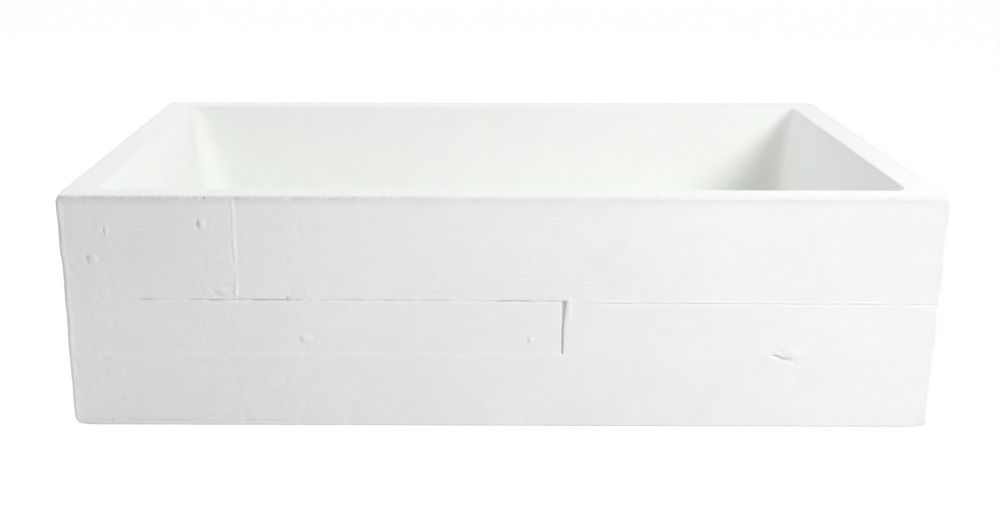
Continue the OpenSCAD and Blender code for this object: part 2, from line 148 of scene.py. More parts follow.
def group(name, kind, inputs, outputs):
    """A node group with sockets given as (name, socket type, value) and (name, socket type)."""
    tree = bpy.data.node_groups.new(name, kind)
    for socket, socket_type, value in inputs:
        made = tree.interface.new_socket(socket, in_out="INPUT", socket_type=socket_type)
        if value is not None:
            made.default_value = value
    for socket, socket_type in outputs:
        tree.interface.new_socket(socket, in_out="OUTPUT", socket_type=socket_type)
    return tree, tree.nodes.new("NodeGroupInput").outputs, tree.nodes.new("NodeGroupOutput").inputs


FLOAT, VECTOR, GEOMETRY = "NodeSocketFloat", "NodeSocketVector", "NodeSocketGeometry"

# %% [markdown]
# ## The rings of the casting
#
# The casting is one closed skin. It could be carved from a box with booleans, but those leave long thin
# faces that can't take fine relief. So it is woven from rings instead: each ring is a rounded rectangle
# round the middle, and the rings run from the drain hole out under the floor, up the outside, over the
# rim, down into the bowl and back to the hole. All rings have the same columns, so neighbours join.
#
# A column is a face (0 front, 1 right, 2 back, 3 left) and a key. Keys from -1 to 1 run along the face,
# and keys from 1 to 2 turn its corner. Columns stand closer where the boards left fine marks.

# %% Sizes of the casting, in millimetres and degrees
WIDTH, DEPTH, HEIGHT = [1000 * (b - a) for a, b in zip(*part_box("basin"))]
RIM, SKIRT = 32, 45  # the long walls' thickness at the rim, and the skirt's at its foot
END_RIM = RIM + 5  # the rim is a little wider at both ends
ARRIS, INNER_ARRIS, FOOT_EDGE, CORNER = 2.5, 2.2, 3, 4.5  # rounding of the rim, foot and upright edges
RIM_CORNER, LOW_CORNER, BOWL_FOOT = 15, 35, 40  # rounding of the bowl's corners, high and low, and foot
END_LEAN, LONG_LEAN, RECESS_DRAFT = 12, 8, 6  # how far the bowl's walls and the recess's lean
FLOOR_EDGE_Z, FLANGE_Z, SEAT_Z, UNDER_Z = 112, 104, 99, 72  # the floor, from its edge to its underside
WALL_DEPTH = HEIGHT - FLOOR_EDGE_Z - BOWL_FOOT  # from the rim down to where the sweep starts
SEAT_R, HOLE_R, RECESS_CORNER = 34.5, 23, 40
LOW_SEAM, HIGH_SEAM, TOP = 79, 141, round(HEIGHT)  # where the boards meet
CREASE_X, BUTT_X, WEDGE_X, KNOT_X, KNOT_Z = -451.5, -276, 62, 286, 79
BACK_LOW_X, BACK_MIDDLE_X, BACK_HIGH_X = -120, -63, 279  # butt joints of the back
LONG, SHORT = 500, 300  # somewhere past the end of a long face and of a short one
half_along = [WIDTH / 2, DEPTH / 2, WIDTH / 2, DEPTH / 2]
print("casting", WIDTH, DEPTH, HEIGHT)


# %% Columns round the casting
def graded(low, high, step, close):
    """Places from low to high, a step apart and closer near each (middle, reach, close step)."""
    places = [low]
    while high - places[-1] > step * 0.7:
        here = places[-1]
        steps = [s + 0.3 * max(0, abs(here - middle) - reach) for middle, reach, s in close]
        places.append(here + min([step] + steps))
    if high - places[-1] < step * 0.3:
        places.pop()
    return np.array(places + [high])


# Nail heads: place, height, radius, rise, how wide they are for their height, and the place of their pit
NAILS = [(-308, 225, 4.8, 1.3, 1.0, (-0.9, -0.1)), (-406.5, 218, 3.6, 0.9, 0.8, (-0.75, 0.0)),
         (-423, 187, 5.6, 1.0, 1.15, (-0.85, 0.0)), (-205, 99, 4.6, 0.8, 1.5, (-1.3, 0.0)),
         (30.5, 99.5, 3.6, 0.7, 1.0, (-0.8, -0.9))]
PINHOLES = [(-224, 142.5, 1.3)]
# Where the columns of each face stand closer: middle, reach and step
FRONT_CLOSE = [(x, 1.2 * radius, 1.0) for x, _, radius, *_ in NAILS] + [
    (BUTT_X, 3, 0.7), (WEDGE_X + 3, 6, 0.45), (KNOT_X + 11, 13, 1.1), (PINHOLES[0][0], 1.5, 0.8),
    (CREASE_X, 1.5, 0.8)]
CLOSE_COLUMNS = [FRONT_CLOSE, [], [(BACK_HIGH_X, 2, 1.2), (BACK_MIDDLE_X, 2, 1.2)], []]
COLUMN_STEP = [5.6, 12.0, 12.0, 12.0]
CORNER_PARTS = 8
corner_keys = 1 + np.arange(CORNER_PARTS) / CORNER_PARTS
face_keys, face_of, key_of = [], [], []
for face in range(4):
    half = half_along[face] - CORNER
    keys = graded(-half, half, COLUMN_STEP[face], CLOSE_COLUMNS[face]) / half
    keys = np.concatenate([keys[:-1], corner_keys])
    face_keys.append(keys)
    face_of += [face] * len(keys)
    key_of += list(keys)
face_of, key_of = np.array(face_of), np.array(key_of)
COLUMNS = len(key_of)
print("columns:", COLUMNS)


# %% One ring of the casting
def turned(points, face):
    """Points of the front's frame, turned to their own face a quarter turn at a time."""
    quarter = face * math.pi / 2
    x, y = points[..., 0].copy(), points[..., 1].copy()
    points[..., 0] = x * np.cos(quarter) - y * np.sin(quarter)
    points[..., 1] = x * np.sin(quarter) + y * np.cos(quarter)
    return points


def ring(half_x, half_y, corner_r, z):
    """A rounded rectangle with one point for each column."""
    along = np.where(face_of % 2 == 0, half_x, half_y) - corner_r
    across = np.where(face_of % 2 == 0, half_y, half_x)
    bend = np.clip(key_of - 1, 0, 1) * math.pi / 2
    points = np.empty((COLUMNS, 3))
    points[:, 0] = np.where(key_of < 1, key_of * along, along + corner_r * np.sin(bend))
    points[:, 1] = np.where(key_of < 1, -across, -across + corner_r * (1 - np.cos(bend)))
    points[:, 2] = z
    return turned(points, face_of)


def circle(radius, z, like):
    """A circle whose points lie in the same directions as those of another ring."""
    direction = np.arctan2(like[:, 1], like[:, 0])
    return np.stack([radius * np.cos(direction), radius * np.sin(direction), np.full(COLUMNS, z)], 1)


def between(first, last, count):
    """Rings spread evenly between two rings, without the two themselves."""
    return [first + (last - first) * i / (count + 1) for i in range(1, count + 1)]


# %% [markdown]
# ## What the boards left on the outside
#
# Each board pressed its own face into the concrete a little deeper or less deep than its neighbours.
# Cement ran into the gaps between them and stands as thin fins, and where a board's edge stood proud
# there is a groove. All this is one rule: how many millimetres the skin lies inside the mould's own
# outline at a place along the face and at a height. Displacement painted on a flat mesh could do the
# same, but a rule in numbers keeps every mark at its measured place, and never leaves the outline.


# %% Small shapes that the rule is made of
def bell(distance, reach):
    """1 at no distance, falling to 0 a little past the reach."""
    return np.exp(-(distance / reach) ** 2)


def step(value, edge, soft):
    """0 below the edge and 1 above it, over about four times soft."""
    return 1 / (1 + np.exp(-np.clip((value - edge) / soft, -40, 40)))


def rough(along, height, size_along, size_up, seed, octaves=3):
    """Noise from about -1 to 1, stretched to the given sizes."""
    spots = np.stack([along / size_along, height / size_up, np.full(along.shape, seed * 7.3)], -1)
    values = [noise.fractal(Vector(p), 1.0, 2.0, octaves) for p in spots.reshape(-1, 3)]
    return np.array(values).reshape(along.shape)


def wander(along, size, seed):
    """Noise along one line."""
    spots = np.asarray(along, float)
    values = [noise.noise(Vector((spot / size, seed * 3.7, 0.5))) for spot in spots.ravel()]
    return np.array(values).reshape(spots.shape)


def broken(along, base, waves, least, most):
    """A strength that comes and goes along a line: a base and waves, each (amount, size, seed)."""
    for amount, size, seed in waves:
        base = base + amount * wander(along, size, seed)
    return np.clip(base, least, most)


# %% The boards of each face: from, to, foot, head, and how deep they lie at foot and head
BOARDS = [
    [(-LONG, LONG, 0, LOW_SEAM, 1.4, 0.85), (-LONG, WEDGE_X + 1, LOW_SEAM, HIGH_SEAM, 1.5, 1.2),
     (WEDGE_X + 1, LONG, LOW_SEAM, HIGH_SEAM, 1.05, 1.25), (-LONG, BUTT_X, HIGH_SEAM, TOP, 1.05, 1.1),
     (BUTT_X, LONG, HIGH_SEAM, TOP, 1.35, 1.35)],
    [(-SHORT, SHORT, 0, LOW_SEAM, 2.3, 0.6), (-SHORT, SHORT, LOW_SEAM, HIGH_SEAM, 0.3, 0.8),
     (-SHORT, SHORT, HIGH_SEAM, TOP, 1.3, 1.2)],
    [(-LONG, BACK_LOW_X, 0, LOW_SEAM, 1.2, 0.9), (BACK_LOW_X, LONG, 0, LOW_SEAM, 0.8, 1.0),
     (-LONG, BACK_MIDDLE_X, LOW_SEAM, HIGH_SEAM, 1.4, 1.1),
     (BACK_MIDDLE_X, LONG, LOW_SEAM, HIGH_SEAM, 0.9, 1.2),
     (-LONG, BACK_HIGH_X, HIGH_SEAM, TOP, 0.9, 0.8), (BACK_HIGH_X, LONG, HIGH_SEAM, TOP, 1.5, 1.3)],
    [(-SHORT, SHORT, 0, LOW_SEAM, 1.7, 1.3), (-SHORT, SHORT, LOW_SEAM, HIGH_SEAM, 1.2, 1.9),
     (-SHORT, SHORT, HIGH_SEAM, 186, 1.9, 1.7), (-SHORT, SHORT, 186, TOP, 0.6, 0.5)]]
# How gently the skin slopes from one board to the next, where that isn't half a millimetre
SEAM_SLOPE = {LOW_SEAM: 0.95, HIGH_SEAM: 0.3}
# Fins and grooves along the seams: face, height, from, to, rise of the fin as a share of the depth
# round it, depth of the groove, and how far the groove lies above the fin
SEAMS = [
    (0, HIGH_SEAM, -374, 60, 0.05, 1.0, 0.0), (0, HIGH_SEAM, -LONG, -374, 0.1, 0.25, 0.6),
    (0, HIGH_SEAM, 68, LONG, 0.4, 0.45, -1.9), (0, LOW_SEAM, -290, 60, 0.12, 0.02, 1.9),
    (0, LOW_SEAM, -LONG, -290, 0.1, 0.35, 0.4), (0, LOW_SEAM, 66, LONG, 0.06, 0.03, -1.8),
    (1, HIGH_SEAM, -SHORT, SHORT, 0.5, 0.6, 1.8), (1, LOW_SEAM, -SHORT, SHORT, 0.4, 0.4, -1.9),
    (2, HIGH_SEAM, -LONG, LONG, 0.6, 0.35, -2.0), (2, LOW_SEAM, -LONG, LONG, 0.3, 0.8, 1.9),
    (3, HIGH_SEAM, -SHORT, SHORT, 0.5, 0.7, 1.8), (3, LOW_SEAM, -SHORT, SHORT, 0.5, 0.3, -1.9)]
# Butt joints: face, place, foot, head, rise of the fin
BUTTS = [(0, BUTT_X, HIGH_SEAM, TOP, 0.5), (2, BACK_LOW_X, 0, LOW_SEAM, 0.5),
         (2, BACK_MIDDLE_X, LOW_SEAM, HIGH_SEAM, 0.6), (2, BACK_HIGH_X, HIGH_SEAM, TOP, 0.6)]
# Upright marks of a worn plane across the middle boards
PLANE_MARKS = [(-368, 2), (-283, 2.5), (-88, 1.5), (0, 2)]
# Knots that left only faint rings: place, height and radius
RING_KNOTS = [(-5, 217, 11), (161, 47, 12), (-236, 52, 8)]
print("boards:", sum(len(boards) for boards in BOARDS), "seams:", len(SEAMS), "butt joints:", len(BUTTS))


# %% The depth of the skin at each place of a face
def board_depth(face, along, height):
    """The depth of the boards, with a narrow slope from each to the next."""
    depth, weight = np.zeros_like(along), np.full_like(along, 1e-9)
    for start, end, foot, head, low, high in BOARDS[face]:
        inside = step(along, start, 0.35) * (1 - step(along, end, 0.35))
        inside = inside * step(height, foot - 20 * (foot == 0), SEAM_SLOPE.get(foot, 0.5))
        inside = inside * (1 - step(height, head + 20 * (head == TOP), SEAM_SLOPE.get(head, 0.5)))
        depth = depth + inside * (low + (high - low) * (height - foot) / (head - foot))
        weight = weight + inside
    return depth / weight


def seam_relief(face, along, height, depth):
    """The fins and grooves between one board and the next above it."""
    for seam_face, z, start, end, rise, groove, above in SEAMS:
        if seam_face != face:
            continue
        here = step(along, start, 2) * (1 - step(along, end, 2))
        life = broken(along, 0.6, [(1.5, 26, z + face), (1.3, 7, z)], 0.0, 1.5) * here
        fin = bell(height - z, 1.0 + 0.4 * wander(along, 11, 5 + face)) * life
        cut = broken(along, 0.85, [(0.7, 34, z + face + 3), (0.8, 7, z + 4)], 0.1, 1.4) * here
        depth = depth * (1 - np.clip(rise * fin, 0, 1))
        below = height - z - above - 0.5 * wander(along, 30, z + 9) - 0.3 * wander(along, 8, z + 11)
        depth = depth + groove * bell(below, np.where(below > 0, 0.6, 1.5)) * cut
    return depth


def butt_relief(face, along, height, depth):
    """The fin and the fine groove where two boards meet end to end."""
    for butt_face, place, foot, head, rise in BUTTS:
        if butt_face != face:
            continue
        here = step(height, foot, 1) * (1 - step(height, head + 20, 1))
        line = place + 0.9 * wander(height, 9, 21 + face) + 0.4 * wander(height, 3, 22)
        life = broken(height, 0.7, [(1.3, 7, 23), (0.8, 3, 24)], 0.1, 1.5) * here
        depth = depth * (1 - np.clip(rise * bell(along - line, 1.8) * life, 0, 1))
        gaps = broken(height, 0.7, [(1.6, 8, 26), (0.8, 3, 27)], 0, 1.5) * here
        depth = depth + (0.05 + 0.2 * gaps) * bell(along - line + 1.9, 0.9) * here
    return depth


# %% Grain and hollows, and the ragged edges of each face
def grain_relief(face, along, height, depth):
    """The wood's grain, strongest where the boards are most worn, slow hollows and crumbled patches."""
    amount = 0.045 + 0.16 * bell(height - 178, 26) * bell(along + 70, 110) + 0.05 * bell(height - 22, 14)
    depth = depth + amount * rough(along, height, 26, 3.6, 1 + face)
    depth = depth + 0.18 * rough(along, height, 120, 34, 11 + face, 2)
    blotches = np.clip(rough(along, height, 9, 6, 15 + face, 2) - 0.12, 0, None)
    return depth + 0.5 * blotches * np.clip(0.6 - along / LONG, 0.2, 1.2)


def lip_relief(face, along, height, depth):
    """The last millimetres under the rim, which stand out over a slope and a ragged undercut."""
    down = HEIGHT - height
    slope = np.clip((down - 2.2) / (10 + 4 * wander(along, 60, 31 + face)), 0, 1)
    ragged = broken(along, 0.1, [(1.4, 45, 33 + face), (1.0, 9, 34 + face)], 0, 1.3)
    if face == 0:
        ragged = ragged * (0.1 + 0.9 * step(-along, 45, 45))
        for middle, reach, more in ((-108, 26, 2.6), (80, 20, 1.6)):
            ragged = ragged + more * bell((along - middle) / reach, 1) ** 0.5
    return depth * slope ** 0.45 + 0.75 * ragged * bell(down - 3.4, 0.8)


def edge_relief(face, along, height, depth):
    """Upright edges that stand a little proud, with a thin broken crease beside the left one and the
    foot, where the mould's end and its bottom met the boards."""
    to_corner = half_along[face] - CORNER - np.abs(along)
    proud = np.where(along < 0, 0.75, 0.3) * (0.6 + 0.4 * wander(height, 8, 41 + face))
    depth = depth * (1 - proud * bell(to_corner, 2.2))
    beside = broken(height, 0.55, [(1.2, 12, 44 + face), (0.6, 4, 45)], 0, 1.4) * step(-height, -95, 5)
    above = broken(along, 0.5, [(1.0, 50, 46 + face), (0.5, 8, 47)], 0, 1.4) * step(-along, 160, 40)
    depth = depth + 0.5 * beside * bell(to_corner - 0.8, 0.9) * (along < 0)
    return depth + 0.5 * above * bell(height - 5.5, 0.9)


# %% What only the front shows: nail heads, knots, a lump, a pinhole and the wedge
def spot(along, height, x, z, reach):
    """1 at a place of the face, falling to 0 a little past the reach."""
    return bell(np.hypot(along - x, height - z), reach)


def nail_relief(along, height, depth):
    """Nail heads, each with the pit that its dent left, knots' rings and the marks of a plane."""
    for x, z, radius, rise, wide, (pit_x, pit_z) in NAILS:
        reach = np.hypot((along - x) / wide, height - z) / radius
        depth = depth - rise * np.clip(1 - reach ** 2, 0, 1) ** 0.6 + 0.15 * bell(reach - 1.2, 0.25)
        to_pit = np.hypot(1.5 * (along - x - pit_x * radius), height - z - pit_z * radius)
        depth = depth + 1.15 * rise * bell(to_pit, 0.46 * radius)
    for x, z, radius in RING_KNOTS:
        reach = np.hypot((along - x) * 0.8, height - z)
        depth = depth + 0.16 * np.cos(reach * 1.9) * bell(reach, radius)
    middle_board = step(height, LOW_SEAM + 3, 1) * (1 - step(height, HIGH_SEAM - 3, 1))
    for x, width in PLANE_MARKS:
        depth = depth + 0.09 * bell(along - x, width) * middle_board
    return depth


def knot_relief(along, height, depth):
    """The knot: a crack that falls to the right under a raised cheek, and a short one above it."""
    run = np.clip((along - KNOT_X) / 22, 0, 1)
    line = KNOT_Z - 6 * run
    across = np.hypot(along - (KNOT_X + 22 * run), height - line - 0.9 * wander(along, 5, 51))
    depth = depth - 0.9 * bell((along - KNOT_X - 19) / 9, 1) * bell((height - KNOT_Z - 3.5) / 5, 1)
    depth = depth + 1.7 * bell(across, 1.2) * (1 - 0.55 * run)
    return depth + 0.9 * bell((along - KNOT_X - 6) / 2.5, 1) * bell((height - KNOT_Z - 5.5) / 1.2, 1)


def lump_relief(along, height, depth):
    """A lump beside the foot of the butt joint, where two seams met, and the pinhole."""
    for x, z, reach, deep in ((-290, 151, 4.5, -1.1), (-295, 146, 1.8, 0.9), (-287, 158, 1.5, 0.7)):
        depth = depth + deep * spot(along, height, x, z, reach)
    for x, z, reach in PINHOLES:
        depth = depth + 1.6 * spot(along, height, x, z, reach)
    return depth


def wedge_relief(along, height, depth):
    """The wedge: a gap between two boards' ends, wider at its head, with a raised lip at its right."""
    share = np.clip((height - LOW_SEAM - 1) / (HIGH_SEAM - LOW_SEAM - 1), 0, 1)
    left = 0.3 - 0.2 * share - 0.5 * np.clip(share - 0.7, 0, 1) / 0.3 + 0.4 * wander(height, 9, 61)
    right = 2.0 + 0.3 * share + 2.3 * np.clip(share - 0.6, 0, 1) / 0.4 + 0.6 * wander(height, 6, 62)
    inside = step(height, LOW_SEAM + 1, 0.3) * (1 - step(height, HIGH_SEAM + 0.5, 0.3))
    lip = step(height, 123, 2) * (1 - step(height, HIGH_SEAM + 3, 0.8))
    depth = depth - 0.7 * bell(along - WEDGE_X - 7.6, 2.6) * lip
    gap = step(along, WEDGE_X + left, 0.3) * (1 - step(along, WEDGE_X + right, 0.3))
    return depth + 1.9 * gap * inside


# %% The whole rule
def skin_depth(face, along, height):
    """Millimetres from the mould's outline in to the skin, never less than none."""
    depth = board_depth(face, along, height)
    for relief in (seam_relief, butt_relief, grain_relief, lip_relief, edge_relief):
        depth = relief(face, along, height, depth)
    if face == 0:
        for relief in (nail_relief, knot_relief, lump_relief, wedge_relief):
            depth = relief(along, height, depth)
    return np.clip(depth, 0.02, None)


def cavity_shade_share(face, along, height, depth):
    """How much painted shade darkens a place, from 0 to 1: none but in what is cut below the board's own
    face.
    """
    return np.clip((depth - board_depth(face, along, height) - 0.4) / 1.2, 0, 0.7)


# %% Rows up the outside, the drift of the seams and the rows' pinch at the nail heads
CLOSE_ROWS = [(5.5, 2, 1.2), (LOW_SEAM, 3.0, 0.7), (HIGH_SEAM, 3.0, 0.6), (TOP - 4, 3, 0.9)]
rows = graded(FOOT_EDGE, HEIGHT - ARRIS, 3.0, CLOSE_ROWS)
# How far each seam has dropped or risen at the start of each face
SEAM_DROP = {HIGH_SEAM: [2.3, -0.6, 0.5, 0], LOW_SEAM: [2.5, 2.8, 0.6, 0]}


def drift(face, along, height):
    """How far a row is moved up or down so that it follows its seam."""
    share = (along / half_along[face] + 1) / 2
    moved = np.zeros_like(along)
    for seam, drop in SEAM_DROP.items():
        line = drop[face] + (drop[(face + 1) % 4] - drop[face]) * share
        line = line + 0.5 * wander(along, 70, 71 + seam) * np.sin(np.pi * np.clip(share, 0, 1))
        moved += line * np.clip(1 - np.abs(height - seam) / 18, 0, 1)
    return moved


def pinched(face, along, height):
    """Heights drawn together at the nail heads and the lump, so that they get enough rows."""
    moved = np.zeros_like(height)
    for x, z, radius in [nail[:3] for nail in NAILS] + [(-291, 151, 6)]:
        near = bell(np.hypot((along - x) * 0.7, height - z), 2.4 * radius)
        moved += (z - height) * 0.6 * near * (face == 0)
    return height + moved


print("rows up the outside:", len(rows))

# %% The outside, face by face
outside = np.stack([ring(WIDTH / 2, DEPTH / 2, CORNER, z) for z in rows])
depths, first_depth, last_depth, painted_cavity_shades = [], [], [], []
for face in range(4):
    along = face_keys[face] * (half_along[face] - CORNER)
    along, height = np.meshgrid(along, rows)
    height = pinched(face, along, height)
    along_face = np.clip(along, -half_along[face], half_along[face])
    depths.append(skin_depth(face, along_face, height))
    painted_cavity_shades.append(cavity_shade_share(face, along_face, height, depths[face]) * (face_keys[face] < 1))
    first_depth.append(depths[face][:, 0])
    end = np.full((len(rows), 1), half_along[face] - CORNER)
    last_depth.append(skin_depth(face, end, rows[:, None])[:, 0])


def corner_pull(face):
    """How far each point of a face moves in across it and along it, with its corners' share."""
    keys = face_keys[face]
    before, after = last_depth[(face - 1) % 4], first_depth[(face + 1) % 4]
    end_in = np.clip(1 - (1 - np.clip(keys, -1, 1)) * half_along[face] / 25, 0, 1)
    start_in = np.clip(1 - (1 + keys) * half_along[face] / 25, 0, 1)
    across = np.where(keys < 1, depths[face], last_depth[face][:, None])
    return across, before[:, None] * start_in - after[:, None] * end_in


for face in range(4):
    mine = face_of == face
    across, along_in = corner_pull(face)
    shift = np.zeros((len(rows), mine.sum(), 3))
    shift[..., 0], shift[..., 1] = along_in, across
    outside[:, mine] += turned(shift, face)
    along, height = np.meshgrid(face_keys[face].clip(-1, 1) * half_along[face], rows)
    outside[:, mine, 2] += drift(face, along, height) + pinched(face, along, height) - height
print("deepest mark:", round(max(d.max() for d in depths), 2), "mm")

# %% [markdown]
# ## Rim, bowl, floor and underside
#
# The rest of the casting is plainer. The rim's outer edge has lost crumbs here and there, because thin
# concrete edges chip when the mould comes off. The bowl's walls lean, its foot is a wide sweep, and its
# floor falls to the waste. All of it is a little uneven, as hand-finished concrete is.

# %% Directions and slow unevenness round the casting
bend = np.clip(key_of - 1, 0, 1) * math.pi / 2
inward = turned(np.stack([-np.sin(bend), np.cos(bend), np.zeros(COLUMNS)], 1), face_of)
walked = np.concatenate([[0], np.cumsum(np.linalg.norm(np.diff(outside[0], axis=0), axis=1))])


def chips(seed, size, share):
    """Depth of the crumbs lost along an edge, from 0 to about 1, over a share of its length."""
    coarse, fine = wander(walked, size, seed), wander(walked, size / 4, seed + 1)
    return np.clip(coarse + 0.5 * fine - (0.55 - share), 0, 1)


def uneven(points, amount, size, seed):
    """Moves the points of a ring in or out and up or down by a slow noise."""
    spots = points / size + seed * 5.1
    push = np.array([noise.noise(Vector(p)) for p in spots])
    lift = np.array([noise.noise(Vector(p) + Vector((9, 9, 9))) for p in spots])
    return points + amount * (push[:, None] * inward) + np.outer(0.5 * amount * lift, [0, 0, 1])


print("the columns run", round(walked[-1]), "mm round the casting")

# %% Upright edges: ragged, and blunt at the head and the foot
at_edge = np.where(key_of > 1, np.sin(np.pi * (key_of - 1)), 0)[:, None]
for level, line in enumerate(outside):
    outside[level] += at_edge * (uneven(line, amount=0.8, size=22, seed=17) - line)


def blunted(points, radius, reach, height):
    """Draws the points near an upright edge in towards the middle, most where the height is 0."""
    to_edge = np.hypot(WIDTH / 2 - np.abs(points[:, 0]), DEPTH / 2 - np.abs(points[:, 1]))
    pull = radius * np.clip(1 - height / reach, 0, 1) ** 2.2 * bell(to_edge, 12)
    points[:, 0] -= np.sign(points[:, 0]) * pull
    points[:, 1] -= np.sign(points[:, 1]) * pull


BLUNT_FOOT, BLUNT_HEAD = 5.0, 2.6
for level, line in zip(rows, outside):
    front_left = (line[:, 0] < 0) & (line[:, 1] < 0)
    blunted(line, BLUNT_FOOT, 9, level)
    blunted(line, np.where(front_left, BLUNT_FOOT, BLUNT_HEAD), 7, HEIGHT - level)
print("upright edges blunted by up to", BLUNT_FOOT, "mm")


# %% Arcs and leaning walls
def on_arc(degrees):
    """How far along and how far up a point lies on a circle of radius 1."""
    return math.cos(math.radians(degrees)), math.sin(math.radians(degrees))


def tangent(degrees):
    """How far a leaning wall moves for each millimetre of its height."""
    return math.tan(math.radians(degrees))


# %% The rim's outer edge
top_shift = outside[-1] - ring(WIDTH / 2, DEPTH / 2, CORNER, rows[-1])
lost = 1.5 * chips(81, 11, 0.33)
arris = []
for angle in (22, 45, 68, 90):
    out, up = [ARRIS * part for part in on_arc(angle)]
    edge = ring(WIDTH / 2 - ARRIS + out, DEPTH / 2 - ARRIS + out, CORNER - ARRIS + out,
                HEIGHT - ARRIS + up)
    edge += top_shift * (1 - 0.35 * angle / 90) + inward * lost[:, None] * (0.4 + angle / 180)
    edge[:, 2] -= lost * angle / 90 * 0.8
    blunted(edge, radius=1.2 * angle / 90, reach=6, height=0)
    arris.append(edge)
outside[-3:] += inward * lost[:, None] * np.array([0.1, 0.25, 0.45])[:, None, None]


def bowl_ring(depth, grow=0.0):
    """The bowl's outline at a depth below the rim, its corners wider the deeper it lies."""
    corner_r = RIM_CORNER + (LOW_CORNER - RIM_CORNER) * depth / WALL_DEPTH
    half_x = WIDTH / 2 - END_RIM - depth * tangent(END_LEAN) + grow
    half_y = DEPTH / 2 - RIM - depth * tangent(LONG_LEAN) + grow
    return ring(half_x, half_y, corner_r, HEIGHT - depth)


# %% The rim's top and its inner edge
RIM_SINK = 0.12  # the top lies this far below the arris, so that no bump rises past the casting's height
rim = []
for share in (0.12, 0.3, 0.55, 0.8, 1.0):
    flat = arris[-1] + (bowl_ring(0, INNER_ARRIS) - arris[-1]) * share
    flat = uneven(flat, amount=0.3, size=60, seed=5)
    flat[:, 2] = np.minimum(flat[:, 2], HEIGHT) - RIM_SINK - 0.5 * lost * (1 - share) ** 6
    rim.append(flat)
worn = 0.8 * chips(85, 22, 0.2)
for angle in (30, 60, 90):
    across, up = on_arc(angle)
    edge = bowl_ring(0, INNER_ARRIS * (1 - up))
    edge[:, 2] -= RIM_SINK + INNER_ARRIS * (1 - across) + worn * 0.4
    rim.append(edge - inward * (worn * across)[:, None])
print("edge crumbs up to", round(lost.max(), 2), "mm")

# %% The bowl's walls, the sweep at their foot and the floor
foot_x = WIDTH / 2 - END_RIM - WALL_DEPTH * tangent(END_LEAN) - BOWL_FOOT
foot_y = DEPTH / 2 - RIM - WALL_DEPTH * tangent(LONG_LEAN) - BOWL_FOOT
walls = [bowl_ring(depth) for depth in np.linspace(5, WALL_DEPTH + 4, 9)]
for angle in np.linspace(16, 87, 8):
    out, up = [BOWL_FOOT * part for part in on_arc(angle)]
    walls.append(ring(foot_x + out, foot_y + out, max(0.95 * out, 2), FLOOR_EDGE_Z + BOWL_FOOT - up))
walls = [uneven(wall, amount=0.25, size=160, seed=7) for wall in walls]
floor_edge = ring(foot_x + 1.5, foot_y + 1.5, 1.5, FLOOR_EDGE_Z)
lip = circle(SEAT_R + 1.2, FLANGE_Z + 0.05, floor_edge)
fall = [uneven(level, amount=0.3, size=80, seed=9) for level in between(floor_edge, lip, 8)]
floor_rings = [floor_edge] + fall + [lip]
seat = [circle(r, z, floor_edge) for r, z in (
    (SEAT_R, FLANGE_Z - 1), (SEAT_R, SEAT_Z), (HOLE_R + 0.6, SEAT_Z), (HOLE_R, SEAT_Z - 0.6),
    (HOLE_R, UNDER_Z + 0.6))]
print("rings down the bowl and to the hole:", len(walls) + len(floor_rings) + len(seat))


# %% The underside: hole, ceiling and walls of the recess, and the face that it stands on
def recess_ring(grow, z):
    """The recess's outline, wider or narrower than it is at the very foot."""
    return ring(WIDTH / 2 - SKIRT + grow, DEPTH / 2 - SKIRT + grow, RECESS_CORNER + grow, z)


draft = UNDER_Z * tangent(RECESS_DRAFT)
seal_ring = circle(36, UNDER_Z, floor_edge)  # where the cone gasket and its washer bear
ceiling_edge = recess_ring(-draft - 3, UNDER_Z)
under = [circle(HOLE_R + 0.6, UNDER_Z, floor_edge), seal_ring] + between(seal_ring, ceiling_edge, 4)
under += [ceiling_edge, recess_ring(-draft - 0.8, UNDER_Z - 1)]
for share in (0.05, 0.3, 0.6, 0.95):
    wall = recess_ring(-draft * (1 - share), UNDER_Z * (1 - share))
    under.append(uneven(wall, amount=0.5, size=60, seed=13))
under += [recess_ring(grow, z) for grow, z in ((0.3, 1.1), (1.0, 0.3), (2.2, 0))]
under += between(under[-1], ring(WIDTH / 2 - FOOT_EDGE, DEPTH / 2 - FOOT_EDGE, 4, 0), 1)

# %% The foot's outer edge
crushed = 1.5 * chips(91, 12, 0.12)
foot_shift = outside[0] - ring(WIDTH / 2, DEPTH / 2, CORNER, rows[0])
for angle in (0, 25, 50, 72):
    down, out = [FOOT_EDGE * part for part in on_arc(angle)]
    edge = ring(WIDTH / 2 - FOOT_EDGE + out, DEPTH / 2 - FOOT_EDGE + out, CORNER, FOOT_EDGE - down)
    edge += foot_shift * angle / 90 + inward * (crushed * angle / 90)[:, None]
    blunted(edge, radius=BLUNT_FOOT * (1 - angle / 90), reach=9, height=FOOT_EDGE - down)
    under.append(edge)
print("rings under the floor:", len(under))

# %% [markdown]
# ## One closed skin
#
# The rings are stacked in one array, and a face joins each point with its neighbour and the two above.
# The last ring joins the first, so the skin has no open edge. It is shaded smooth, except at edges
# that turn by much. The painted shade in the marks is kept as a number at each point, for the finish to
# read.


# %% Crisp edges on a smooth-shaded mesh
def sharpen(mesh, degrees):
    """Marks the edges that turn by more than an angle as sharp."""
    builder = bmesh.new()
    builder.from_mesh(mesh)
    for edge in builder.edges:
        edge.smooth = edge.calc_face_angle(0) < math.radians(degrees)
    builder.to_mesh(mesh)
    builder.free()


